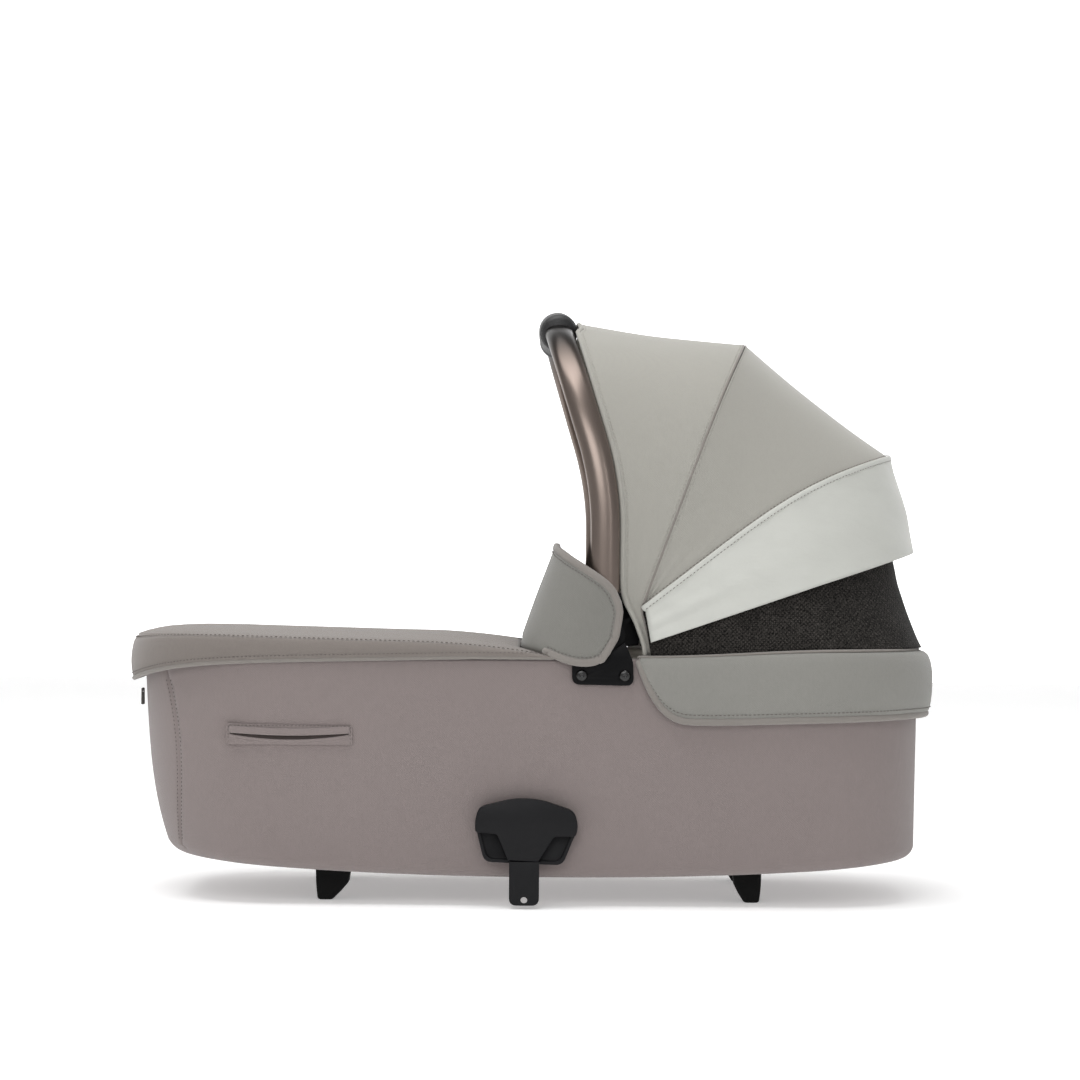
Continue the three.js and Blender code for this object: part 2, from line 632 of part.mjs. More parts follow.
const handleArch = arch({
  halfWidth: HANDLE.halfWidth, topZ: HANDLE.topZ, footZ: HANDLE.legBottomZ, xAt: handleX,
});

function oval(a, b, sides) {
  return range(sides).slice(0, -1).map((t) => [a * Math.cos(2 * Math.PI * t), b * Math.sin(2 * Math.PI * t)]);
}

function handleTube() {
  const outer = oval(HANDLE.foreAft, HANDLE.lateral, 12);
  const inner = oval(HANDLE.foreAft - HANDLE.wall, HANDLE.lateral - HANDLE.wall, 12);
  return sweep(range(26).map(handleArch), foreAftAxis, outer, inner);
}

function handleGrip() {
  const path = range(200).map(handleArch).filter((p) => Math.abs(p.y) <= HANDLE.gripHalfLength);
  const thin = path.filter((_, k) => k % Math.ceil(path.length / 7) === 0 || k === path.length - 1);
  const clear = 0.9;
  return sweep(thin, foreAftAxis, oval(HANDLE.gripRadius, HANDLE.gripRadius, 14),
    oval(HANDLE.foreAft + clear, HANDLE.lateral + clear, 14));
}

add('handle_tube', handleTube(), MATERIALS.bronzeTube);
add('handle_grip', handleGrip(), MATERIALS.grip);

// ---------------------------------------------------------------- ribs

// The rib's centre line runs from its eye at the near pivot, over the top, to the far one.
function ribPath({ angleAt, reach, halfWidth, eyeY, power = ARCH_POWER }) {
  const points = [];
  const bars = 22;
  for (let k = 0; k <= bars; k += 1) {
    const a = Math.PI * (k / bars);
    const r = reach * Math.sin(a) ** (2 / power);
    const y = -halfWidth * Math.sign(Math.cos(a)) * Math.abs(Math.cos(a)) ** (2 / power);
    if (r > 82) points.push([r, y]);
  }
  const ends = [[14, eyeY], [46, eyeY], [70, halfWidth]];
  const full = [...ends.map(([r, y]) => [r, -y]), ...points, ...ends.reverse().map(([r, y]) => [r, y])];
  return full.map(([r, y]) => {
    const angle = angleAt(r) * DEG;
    return new THREE.Vector3(PIVOT.x + r * Math.sin(angle), y, PIVOT.z + r * Math.cos(angle));
  });
}

function rib(options, eyeShape) {
  const path = ribPath(options);
  const section = [[-RIB.width / 2, -RIB.thickness / 2], [RIB.width / 2, -RIB.thickness / 2],
    [RIB.width / 2, RIB.thickness / 2], [-RIB.width / 2, RIB.thickness / 2]];
  const angle = options.angleAt(options.reach) * DEG;
  const squareToRib = () => new THREE.Vector3(Math.cos(angle), 0, -Math.sin(angle));
  const bar = sweep(path, squareToRib, section);
  const { eyeY } = options;
  const eyes = [1, -1].map((s) => plate(eyeShape, s * (eyeY - 1.5), s * (eyeY + 1.5), 8));
  const bores = [1, -1].map((s) => (
    cylinderY(PIVOT.x, PIVOT.z, PIVOT.pinRadius + GAP, s * (eyeY - 4), s * (eyeY + 4))
  ));
  return cut(joined(bar, ...eyes), ...bores);
}

function discShape(radius) {
  const shape = new THREE.Shape();
  shape.absarc(PIVOT.x, PIVOT.z, radius, 0, 2 * Math.PI);
  return shape;
}

// The rear rib ends in a fan-shaped plate that closes the gap behind the hubs.
function fanShape() {
  const shape = new THREE.Shape();
  const [start, end] = [-15 * DEG, 70 * DEG];
  const { fanRadius } = REAR_RIB;
  shape.moveTo(PIVOT.x, PIVOT.z - 14);
  shape.lineTo(PIVOT.x + fanRadius * Math.cos(start), PIVOT.z + fanRadius * Math.sin(start));
  shape.absarc(PIVOT.x, PIVOT.z, fanRadius, start, end);
  shape.lineTo(PIVOT.x - 10, PIVOT.z + 9);
  shape.absarc(PIVOT.x, PIVOT.z, 14, 138 * DEG, 270 * DEG);
  return shape;
}

const rearRibAngle = (r) => 52.6 + 5.4 * clamp01((r - 215) / 150);

add('front_rib', rib({ angleAt: () => FRONT_RIB.angle, ...FRONT_RIB }, discShape(15)), MATERIALS.blackPlastic);
add('rear_rib', rib({ angleAt: rearRibAngle, ...REAR_RIB }, fanShape()), MATERIALS.blackPlastic);

// ---------------------------------------------------------------- hood panels

// The seams run together above the pivots at one gathering point.
const GATHER = { x: 115, z: 315 };
const SEAM_FOOT_Z = 275;

const seamX = (top, bow) => (z) => {
  const t = clamp01((z - GATHER.z) / (top.z - GATHER.z));
  return GATHER.x + (top.x - GATHER.x) * ((1 - bow) * t + bow * t ** 6);
};
const FRONT_TOP = { x: 231.5, z: 605 };
const REAR_TOP = { x: 391, z: 482.5 };
const frontSeamX = seamX(FRONT_TOP, 0.08);
const rearSeamX = seamX(REAR_TOP, 0.22);

// The hood's front hem lies against the back of the handle and turns back to the gathering.
const HEM = [[275, 119], [288, 114.5], [303, 109.5], [315, 102.5], [329, 95.5], [350, 94.5]];
const behindTube = (z) => handleX(z) + HANDLE.foreAft + 2.6 + 5.5 * smooth((z - 592) / 16);
const hemX = (z) => (z < 350 ? through(HEM, z) : behindTube(z));
const frontSeamLowX = (z) => (z < GATHER.z ? lerp(126.5, GATHER.x, (z - SEAM_FOOT_Z) / 40) : frontSeamX(z));

const hemArch = arch({ halfWidth: 206, topZ: 627, footZ: SEAM_FOOT_Z, xAt: hemX });
const frontSeamArch = arch({ halfWidth: 200.5, topZ: FRONT_TOP.z, footZ: SEAM_FOOT_Z, xAt: frontSeamLowX });
const frontSeamUpper = arch({ halfWidth: 200.5, topZ: FRONT_TOP.z, footZ: 325, xAt: frontSeamX });
const rearSeamArch = arch({ halfWidth: 200.5, topZ: REAR_TOP.z, footZ: 321, xAt: rearSeamX });

// A panel between two curves, kept a little short of both.
function panelBetween(curveA, curveB, margin) {
  return (u, v) => {
    const [a, b] = [curveA(u), curveB(u)];
    const share = Math.min(0.45, margin / a.distanceTo(b));
    return a.lerp(b, lerp(share, 1 - share, v));
  };
}

// The rim line that the net is sewn to, from the near front corner round the head end.
function netFootLine() {
  const startX = 132;
  const plan = planOutline({ foot: BODY.footEnd, head: 424, width: 207.5, radius: 128 });
  const near = plan.filter(([x, y]) => y < 0 && x > startX);
  const far = plan.filter(([x, y]) => y > 0 && x > startX);
  const line = [[startX, -207.5], ...near, [424, 0], ...far, [startX, 207.5]];
  const lengths = [0];
  for (let k = 1; k < line.length; k += 1) {
    lengths.push(lengths[k - 1] + Math.hypot(line[k][0] - line[k - 1][0], line[k][1] - line[k - 1][1]));
  }
  return (t) => {
    const wanted = clamp01(t) * lengths.at(-1);
    let k = 1;
    while (k < lengths.length - 1 && lengths[k] < wanted) k += 1;
    const share = (wanted - lengths[k - 1]) / (lengths[k] - lengths[k - 1]);
    return new THREE.Vector3(
      lerp(line[k - 1][0], line[k][0], share), lerp(line[k - 1][1], line[k][1], share), 274.6,
    );
  };
}
const netFoot = netFootLine();

// The vent flap hangs outside the net, down to a hem that climbs towards the head end.
const HEM_LINE = { x: 118, z: 278, slope: 0.3435 };
function ventFlapAt(u, v) {
  const t = lerp(0.012, 0.988, u);
  const [top, bottom] = [rearSeamArch(t), netFoot(t)];
  let [low, high] = [0, 1];
  for (let k = 0; k < 30; k += 1) {
    const mid = (low + high) / 2;
    const p = top.clone().lerp(bottom, mid);
    if (p.z > HEM_LINE.z + (p.x - HEM_LINE.x) * HEM_LINE.slope) low = mid;
    else high = mid;
  }
  const start = 5 / top.distanceTo(bottom);
  const p = top.clone().lerp(bottom, lerp(start, Math.max(low, start + 0.2), v));
  const out = new THREE.Vector3(Math.max(0, p.x - 300) / 100, p.y / 205, 0.15).normalize();
  return p.addScaledVector(out, lerp(4.5, 7.5, v));
}

add('canopy_front_panel', sheet(panelBetween(hemArch, frontSeamArch, 1.7), 22, 2, FABRIC), MATERIALS.hood);
add('canopy_rear_panel', sheet(panelBetween(frontSeamUpper, rearSeamArch, 1.7), 22, 2, FABRIC), MATERIALS.hood);
add('mesh_window', sheet(panelBetween(rearSeamArch, netFoot, 1.8), 24, 2, 1.6), MATERIALS.net);
add('vent_flap', sheet(ventFlapAt, 24, 2, 2), MATERIALS.vent);

// ---------------------------------------------------------------- hood skirt

// The padded band that joins the hood to the rim, round the head end.
const skirtLowZ = (x) => 197 + 66 * (1 - clamp01((x - 112) / 64)) ** 3 + 6 * clamp01((x - 200) / 200);

function hoodSkirt() {
  const plan = planOutline({
    foot: BODY.footEnd, head: BODY.headEnd, width: BODY.halfWidth, radius: BODY.cornerRadius,
  });
  const near = plan.filter(([x, y]) => y < 0 && x > 190);
  const far = plan.filter(([x, y]) => y > 0 && x > 190);
  const front = [113, 117, 123, 132, 145, 160, 178];
  const line = [
    ...front.map((x) => [x, -BODY.halfWidth]), ...near, [BODY.headEnd, 0], ...far,
    ...front.reverse().map((x) => [x, BODY.halfWidth]),
  ];
  const rings = line.map(([x, y], k) => {
    const [a, b] = [line[Math.max(0, k - 1)], line[Math.min(line.length - 1, k + 1)]];
    const out = new THREE.Vector2(b[1] - a[1], -(b[0] - a[0])).normalize();
    const puff = 1 + 0.84 * smooth((x - 300) / 118);
    const low = skirtLowZ(x);
    const middle = lerp(low, 265.5, 0.7);
    const section = [
      [1, low + 1.5], [1, 264.3], [-6.5, 264.3], [-6.5, 268], [-2, 272], [4, 272.4], [8 * puff, 267],
      [9.5 * puff, middle], [9 * puff, lerp(low, middle, 0.4)], [6.5 * puff, low + 0.8], [3.5, low],
    ];
    return section.map(([o, z]) => new THREE.Vector3(x + out.x * o, y + out.y * o, z));
  });
  return capped(rings);
}

// Lofts rings and closes both ends by triangulating the section, which may be hollow-sided.
function capped(rings) {
  const n = rings[0].length;
  const points = rings.flat();
  const faces = [];
  for (let r = 0; r < rings.length - 1; r += 1) {
    for (let i = 0; i < n; i += 1) {
      const [a, b] = [r * n + i, r * n + ((i + 1) % n)];
      faces.push([a, b, b + n], [a, b + n, a + n]);
    }
  }
  const cap = (ring, offset, isStart) => {
    const across = ring[6].clone().sub(ring[2]).setZ(0).normalize();
    const flat = ring.map((p) => new THREE.Vector2(p.dot(across), p.z));
    const triangles = THREE.ShapeUtils.triangulateShape(flat, []);
    const edgesOf = ([a, b, c]) => [[a, b], [b, c], [c, a]];
    const follows = triangles.flatMap(edgesOf).some(([i, j]) => j === (i + 1) % n);
    for (const [a, b, c] of triangles) {
      const turned = follows === isStart ? [a, c, b] : [a, b, c];
      faces.push(turned.map((i) => i + offset));
    }
  };
  cap(rings[0], 0, true);
  cap(rings.at(-1), (rings.length - 1) * n, false);
  return makeGeometry(points, faces);
}

add('hood_skirt', hoodSkirt(), MATERIALS.hood);

// ---------------------------------------------------------------- apron and wind flap

// Where the front of the wind flap stands at a height: it leans back towards the head end.
const flapFrontX = (z) => -12 + 0.37 * Math.max(0, z - 274) - 0.00055 * Math.max(0, z - 340) ** 2;

// A point of the flap from its distance along the flap's plan and its height.
function flapPoint(s, z, inset = 0) {
  const straight = FLAP.side - FLAP.corner;
  const quarter = (FLAP.corner * Math.PI) / 2;
  const length = Math.abs(s);
  const x = flapFrontX(z);
  const radius = FLAP.corner;
  if (length <= straight) return new THREE.Vector3(x + inset, Math.sign(s) * length, z);
  if (length <= straight + quarter) {
    const a = (length - straight) / radius;
    return new THREE.Vector3(
      x + radius - (radius - inset) * Math.cos(a), Math.sign(s) * (straight + (radius - inset) * Math.sin(a)), z,
    );
  }
  return new THREE.Vector3(x + radius + length - straight - quarter, Math.sign(s) * (FLAP.side - inset), z);
}

const FLAP_END = 294;
const FLAP_TOP = [
  [0, 384], [163, 384], [196, 376], [225, 365], [250, 353], [268, 342], [280, 330], [289, 314], [294, 289],
];
const FLAP_FOOT = [
  [0, 280], [120, 279.5], [190, 274], [226, 268.5], [240, 262], [256, 257.8], [272, 257.5], [284, 262], [291, 272],
  [294, 287],
];

function windFlap() {
  const at = (u, v) => {
    const s = lerp(-FLAP_END, FLAP_END, u);
    return flapPoint(s, lerp(through(FLAP_FOOT, Math.abs(s)), through(FLAP_TOP, Math.abs(s)), v));
  };
  const columnAt = (t) => 0.5 - 0.5 * Math.sign(0.5 - t) * Math.sin(Math.PI * Math.abs(0.5 - t)) ** 0.8;
  return sheet(at, 32, 3, FLAP.thickness, columnAt);
}

// The apron's lower edge and its upper seam, along the length of the carrycot.
function apronLowZ(x) {
  const t = clamp01((-x - 60) / 377);
  return 264.8 - 9 * t - 21 * t ** 8;
}
function apronSeamZ(x) {
  const dropAtFoot = 5.4 * clamp01((-x - 360) / 75) ** 2;
  const dropAtFlap = 10 * clamp01((x + 120) / 136) ** 2;
  return 286 - 0.024 * Math.max(0, Math.min(x, 20) + 330) - dropAtFoot - dropAtFlap;
}

// Everything on the head side of the wind flap's foot line, as one block to cut away.
function beyondFlap() {
  const shape = new THREE.Shape();
  const clearance = -(FLAP.thickness / 2 + 1.4);
  const ends = 240;
  for (let k = 0; k <= 40; k += 1) {
    const p = flapPoint(lerp(-ends, ends, k / 40), 274, clearance);
    if (k === 0) shape.moveTo(p.x, p.y);
    else shape.lineTo(p.x, p.y);
  }
  shape.lineTo(40, 260);
  shape.lineTo(500, 260);
  shape.lineTo(500, -260);
  shape.lineTo(40, -260);
  shape.closePath();
  const block = new THREE.ExtrudeGeometry(shape, { depth: 200, bevelEnabled: false });
  block.translate(0, 0, 180);
  return block;
}

function apronCover() {
  const wall = 3;
  const outline = (grow) => planOutline({
    foot: 436.5 + grow, head: BODY.headEnd + 6, width: 219.5 + grow, radius: 134 + grow,
  });
  const level = (grow, zAt, scale = 1) => outline(grow).map(([x, y]) => (
    new THREE.Vector3(x * scale, y * scale, zAt(x * scale, y * scale))
  ));
  const crown = (x, y) => apronSeamZ(x) + 3.5 * (1 - Math.min(1, Math.abs(y) / 210) ** 2);
  const skin = (d, drop) => [
    level(-2.4 - d, (x) => apronLowZ(x) - drop), level(-0.4 - d, (x) => apronLowZ(x) + 5 - drop),
    level(-d, (x) => lerp(apronLowZ(x), apronSeamZ(x), 0.55)),
    level(-2 - d, (x) => apronSeamZ(x) - 4 - d * 0.6),
    level(-7 - d, (x) => apronSeamZ(x) - d), level(-7 - d, (x, y) => crown(x, y) - d, 0.72),
    level(-7 - d, (x, y) => crown(x, y) - d, 0.38),
  ];
  const closedTop = (rings) => loft(rings, {
    startPoint: new THREE.Vector3(0, 0, 200), endPoint: new THREE.Vector3(0, 0, rings.at(-1)[0].z - 0.5),
  });
  const outer = closedTop(skin(0, 0));
  const inner = closedTop(skin(wall, 12));
  return cut(outer, inner, beyondFlap());
}

// A welted slit pocket: a slim stitched frame that follows the curve of the side.
function pocketWelt() {
  const place = { x: -255.5, z: 181.5, halfLength: 66.5, halfHeight: 11.5, slit: 3 };
  const down = (BODY.rimZ - place.z) / (BODY.rimZ - BODY.floorZ);
  const y = BODY.halfWidth - 8 * down - 12 * down ** 3;
  const shape = roundedShape([
    [place.x - place.halfLength, place.z - place.halfHeight + 1, 2],
    [place.x + place.halfLength, place.z - place.halfHeight + 1, 2],
    [place.x + place.halfLength, place.z + place.halfHeight - 2, 2],
    [place.x - place.halfLength, place.z + place.halfHeight, 2],
  ]);
  const welt = plate(shape, -(y + 2.6), -(y - 4));
  const slit = boxBetween(
    [place.x - place.halfLength + 5, -(y + 5), place.z - place.slit / 2],
    [place.x + place.halfLength - 5, -(y + 1.6), place.z + place.slit / 2],
  );
  const wall = loftSolid(tubRings(() => -GAP, 260, 0));
  return cut(welt, wall, slit);
}

// The pull of the zip that closes the apron round the foot end.
function zipPull() {
  const [x, y, z] = [-BODY.footEnd - 1.6, -92, 216];
  const tab = roundedShape([[-1.6, -9, 1], [1.6, -9, 1], [1.4, 9, 1], [-1.4, 9, 1]]);
  const piece = plate(tab, y - 4, y + 4, 3);
  piece.translate(x, 0, z);
  return cut(piece, cylinderY(x, z + 5, 0.8, y - 6, y + 6, 8));
}

add('apron_cover', apronCover(), MATERIALS.cover);
add('wind_flap', windFlap(), MATERIALS.cover);
add('apron_zip_pull', zipPull(), MATERIALS.blackPlastic);
add('pocket_welt_near', pocketWelt(), MATERIALS.cover);
add('pocket_welt_far', mirroredY(pocketWelt()), MATERIALS.cover);

// ---------------------------------------------------------------- the carrycot

const carrycot = new THREE.Group();
for (const { name, geometry, material } of nodes) {
  const mesh = new THREE.Mesh(geometry, material);
  mesh.name = name;
  carrycot.add(mesh);
}

export default carrycot;
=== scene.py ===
"""A pram carrycot in soft studio light: sewn cover, apron, wind flap, folding hood and frame adapters.

Lengths in the code are millimetres in the part's own frame, and MM turns them into metres.
"""

import json
import math

import bmesh
import bpy
import numpy as np
from mathutils import Matrix, Vector, noise

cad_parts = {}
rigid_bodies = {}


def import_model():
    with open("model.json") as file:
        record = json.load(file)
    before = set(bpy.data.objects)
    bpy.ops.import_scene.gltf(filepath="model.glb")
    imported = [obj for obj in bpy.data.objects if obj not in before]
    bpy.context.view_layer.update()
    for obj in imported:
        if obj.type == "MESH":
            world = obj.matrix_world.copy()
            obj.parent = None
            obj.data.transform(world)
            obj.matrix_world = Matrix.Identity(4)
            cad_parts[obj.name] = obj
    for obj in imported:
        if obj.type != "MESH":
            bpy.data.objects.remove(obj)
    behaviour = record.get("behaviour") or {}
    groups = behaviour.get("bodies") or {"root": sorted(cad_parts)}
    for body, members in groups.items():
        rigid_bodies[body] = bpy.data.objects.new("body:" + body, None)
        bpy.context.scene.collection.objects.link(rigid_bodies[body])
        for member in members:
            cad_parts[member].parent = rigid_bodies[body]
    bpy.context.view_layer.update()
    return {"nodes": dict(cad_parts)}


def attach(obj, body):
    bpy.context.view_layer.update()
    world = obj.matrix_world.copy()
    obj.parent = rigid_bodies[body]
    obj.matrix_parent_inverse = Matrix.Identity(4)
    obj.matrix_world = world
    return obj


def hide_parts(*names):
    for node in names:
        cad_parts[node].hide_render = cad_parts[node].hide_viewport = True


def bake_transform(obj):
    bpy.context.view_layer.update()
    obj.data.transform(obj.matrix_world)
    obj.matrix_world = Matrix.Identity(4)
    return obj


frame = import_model()
MM = 0.001


def add_object(name, data):
    thing = bpy.data.objects.new(name, data)
    bpy.context.scene.collection.objects.link(thing)
    return thing


# ---- camera

CAMERA_DISTANCE = 4.0
CAMERA_AIM = (0.0075, 0.389)
CAMERA_ROLL = math.radians(0.45)
CAMERA_LENS, CAMERA_SENSOR = 119.7, 36
camera_data = bpy.data.cameras.new("camera")
camera_data.lens = CAMERA_LENS
camera_data.sensor_width = CAMERA_SENSOR
camera = add_object("camera", camera_data)
camera.matrix_world = (
    Matrix.Translation((CAMERA_AIM[0], -CAMERA_DISTANCE, CAMERA_AIM[1]))
    @ Matrix.Rotation(math.pi / 2, 4, "X") @ Matrix.Rotation(CAMERA_ROLL, 4, "Z")
)
bpy.context.scene.camera = camera

# ---- small maths


def clamp01(t):
    return min(1.0, max(0.0, t))


def lerp(a, b, t):
    return a + (b - a) * t


def smooth(t):
    t = clamp01(t)
    return t * t * (3 - 2 * t)


def through(pairs, value):
    """A line through (input, output) pairs, read at one input and level beyond its ends."""
    i = 1
    while i < len(pairs) - 1 and value > pairs[i][0]:
        i += 1
    (x0, y0), (x1, y1) = pairs[i - 1], pairs[i]
    return lerp(y0, y1, clamp01((value - x0) / (x1 - x0)))


def eased(pairs, value):
    """Like through, but rounded at its points by averaging a short stretch."""
    reach = 5
    return sum(through(pairs, value + k * 1.6) for k in range(-reach, reach + 1)) / (2 * reach + 1)


def steps(n):
    return [k / n for k in range(n + 1)]


def bell(distance, width):
    return math.exp(-(distance / width) ** 2)


def wrinkle(p, size, seed=0.0):
    """Smooth seeded noise between -1 and 1 that changes over the given size."""
    return noise.noise(Vector((p[0] / size + seed, p[1] / size - seed, p[2] / size + 2 * seed)))


def measured(line):
    """The length of a line of points, and a function that finds a distance along it: the number of the point
    after it, and the share of the way there from the point before."""
    lengths = [0.0]
    for a, b in zip(line, line[1:]):
        lengths.append(lengths[-1] + (b - a).length)

    def find(distance):
        low, high = 0, len(lengths) - 1
        while high - low > 1:
            middle = (low + high) // 2
            low, high = (middle, high) if lengths[middle] < distance else (low, middle)
        return high, (distance - lengths[low]) / max(1e-9, lengths[high] - lengths[low])

    return lengths[-1], find


def by_share(line):
    """A line of points as a function of the share of its length."""
    length, find = measured(line)

    def at(t):
        k, part = find(clamp01(t) * length)
        return line[k - 1].lerp(line[k], part)

    return at


def tangent_at(points, k):
    return (points[min(k + 1, len(points) - 1)] - points[max(k - 1, 0)]).normalized()


# ---- materials


def srgb(r, g, b):
    def one(c):
        c /= 255
        return c / 12.92 if c <= 0.04045 else ((c + 0.055) / 1.055) ** 2.4
    return one(r), one(g), one(b)


class Nodes:
    """A short way to build a node tree."""

    def __init__(self, name):
        self.material = bpy.data.materials.new(name)
        self.material.use_nodes = True
        self.tree = self.material.node_tree
        self.shader = self.tree.nodes["Principled BSDF"]

    def add(self, kind, inputs=None, **settings):
        node = self.tree.nodes.new(kind)
        for key, value in settings.items():
            setattr(node, key, value)
        for key, value in (inputs or {}).items():
            if isinstance(value, bpy.types.NodeSocket):
                self.tree.links.new(value, node.inputs[key])
            else:
                node.inputs[key].default_value = value
        return node

    def maths(self, operation, *values):
        return self.add("ShaderNodeMath", dict(enumerate(values)), operation=operation).outputs[0]

    def vector(self, operation, *values):
        return self.add("ShaderNodeVectorMath", dict(enumerate(values)), operation=operation).outputs[0]

    def noise(self, scale, detail=2.0, roughness=0.5, stretch=(1, 1, 1)):
        place = self.vector("MULTIPLY", self.objects(), stretch)
        inputs = {"Vector": place, "Scale": scale, "Detail": detail, "Roughness": roughness}
        return self.add("ShaderNodeTexNoise", inputs).outputs["Fac"]

    def objects(self):
        return self.add("ShaderNodeTexCoord").outputs["Object"]

    def spread(self, value, low, high):
        node = self.add("ShaderNodeMapRange", {"Value": value, "To Min": low, "To Max": high})
        return node.outputs["Result"]

    def set(self, **sockets):
        for key, value in sockets.items():
            socket = self.shader.inputs[key.replace("_", " ")]
            if isinstance(value, bpy.types.NodeSocket):
                self.tree.links.new(value, socket)
            else:
                socket.default_value = value

    def bump(self, height, distance, strength=1.0):
        node = self.add("ShaderNodeBump", {"Height": height, "Distance": distance, "Strength": strength})
        self.tree.links.new(node.outputs["Normal"], self.shader.inputs["Normal"])

    def scaled(self, vector, factor):
        return self.add("ShaderNodeVectorMath", {0: vector, "Scale": factor}, operation="SCALE").outputs[0]

    def product(self, total, *others):
        for value in others:
            total = self.maths("MULTIPLY", total, value)
        return total

    def weave(self, thread):
        """Plain-weave threads of the given width in metres, laid flat on whichever way a face looks."""
        wave = self.vector("SINE", self.scaled(self.objects(), math.pi / thread))
        x, y, z = self.add("ShaderNodeSeparateXYZ", {0: wave}).outputs
        facing = self.add("ShaderNodeNewGeometry").outputs["Normal"]
        crossed = self.add("ShaderNodeCombineXYZ", {
            0: self.product(y, z), 1: self.product(x, z), 2: self.product(x, y)}).outputs[0]
        inputs = {0: crossed, 1: self.vector("MULTIPLY", facing, facing)}
        return self.add("ShaderNodeVectorMath", inputs, operation="DOT_PRODUCT").outputs["Value"]


def fabric(name, colour, thread=0.0009, melange=0.1, depth=0.00012, rough=0.9):
    """Woven cloth: crossed threads, threads of slightly different dye, and soft large-scale shading."""
    n = Nodes(name)
    weave = n.weave(thread)
    dye = n.noise(1100, 2, 0.7)
    slub = n.noise(420, 3, 0.6, stretch=(1, 1, 0.25))
    cloud = n.noise(7, 2, 0.5)
    total = n.product(n.spread(dye, 1 - melange, 1 + melange), n.spread(slub, 1 - melange / 2, 1 + melange / 2),
                      n.spread(cloud, 0.96, 1.04), n.spread(weave, 0.96, 1.02))
    n.set(Base_Color=n.scaled(colour, total), Roughness=n.spread(dye, rough - 0.06, rough + 0.06),
          Sheen_Weight=0.25, Sheen_Roughness=0.5, Specular_IOR_Level=0.25)
    n.bump(n.maths("ADD", weave, n.product(dye, 0.8)), depth)
    return n.material


def satin(name, colour):
    """A coated, slightly shiny ripstop with fine crease shading."""
    n = Nodes(name)
    weave = n.weave(0.0006)
    crease = n.noise(30, 3, 0.55, stretch=(1, 1, 2.2))
    fine = n.noise(900, 2, 0.6)
    total = n.product(n.spread(crease, 0.95, 1.04), n.spread(fine, 0.97, 1.03))
    n.set(Base_Color=n.scaled(colour, total), Roughness=n.spread(crease, 0.42, 0.6),
          Sheen_Weight=0.15, Specular_IOR_Level=0.45)
    n.bump(n.maths("ADD", n.product(weave, 0.2), n.product(crease, 6)), 0.0002)
    return n.material


def netting(name, colour):
    """Dense knitted net: pale thread crossings over holes painted black, which is painted shade for the dark inside of
    the hood seen through them.
    """
    n = Nodes(name)
    wave = n.weave(0.0022)
    knots = n.noise(620, 2, 0.8)
    slack = n.noise(55, 2, 0.5, stretch=(1.4, 1, 0.5))
    # between the threads the colour drops to black: painted shade of the hood's dark inside
    thread = n.maths("MAXIMUM", n.spread(wave, -0.6, 1.6), 0.0)
    speck = n.maths("MAXIMUM", n.spread(knots, -2.6, 4.4), 0.0)
    total = n.product(n.maths("ADD", thread, speck), n.spread(slack, 0.55, 1.45))
    n.set(Base_Color=n.scaled(colour, total), Roughness=0.9, Sheen_Weight=0.04, Specular_IOR_Level=0.1)
    n.bump(n.maths("ADD", wave, knots), 0.0003)
    return n.material


def plastic(name, colour, rough=0.42, grain=0.00003, shine=0.16):
    """Moulded plastic with a fine spark-eroded grain and faint handling marks."""
    n = Nodes(name)
    fine = n.noise(2600, 2, 0.6)
    marks = n.noise(45, 4, 0.65)
    n.set(Base_Color=n.scaled(colour, n.spread(marks, 0.85, 1.15)), Specular_IOR_Level=shine,
          Roughness=n.spread(marks, rough - 0.08, rough + 0.1))
    n.bump(fine, grain)
    return n.material


def metal(name, colour, rough, metallic=1.0, painted_shade_span=None):
    """Bare, plated or painted metal. The optional pair of heights in metres is where the handle's colour is darkened
    with painted shade, standing in for the dark reflection and shade where the tube turns in under its grip."""
    n = Nodes(name)
    sparkle = n.noise(1800, 2, 0.5)
    cloud = n.noise(14, 2, 0.5)
    total = n.product(n.spread(sparkle, 0.95, 1.05), n.spread(cloud, 0.95, 1.05))
    # painted shade: the colour darkens between two heights, towards the handle's top under its grip
    if painted_shade_span:
        height = n.add("ShaderNodeSeparateXYZ", {0: n.objects()}).outputs[2]
        heights = {"Value": height, "From Min": painted_shade_span[0], "From Max": painted_shade_span[1], "To Min": 1.0, "To Max": 0.06}
        painted_shade_factor = n.add("ShaderNodeMapRange", heights, interpolation_type="SMOOTHSTEP")
        total = n.product(total, painted_shade_factor.outputs["Result"])
    n.set(Base_Color=n.scaled(colour, total), Metallic=metallic, Roughness=n.spread(cloud, *rough))
    n.bump(sparkle, 0.00001)
    return n.material


def leather(name, colour):
    n = Nodes(name)
    cells = n.add("ShaderNodeTexVoronoi", {"Vector": n.objects(), "Scale": 620.0}).outputs["Distance"]
    cloud = n.noise(60, 3, 0.6)
    n.set(Base_Color=n.scaled(colour, n.spread(cloud, 0.8, 1.2)), Roughness=n.spread(cells, 0.42, 0.62))
    n.bump(n.maths("ADD", cells, n.product(cloud, 0.6)), 0.0002)
    return n.material


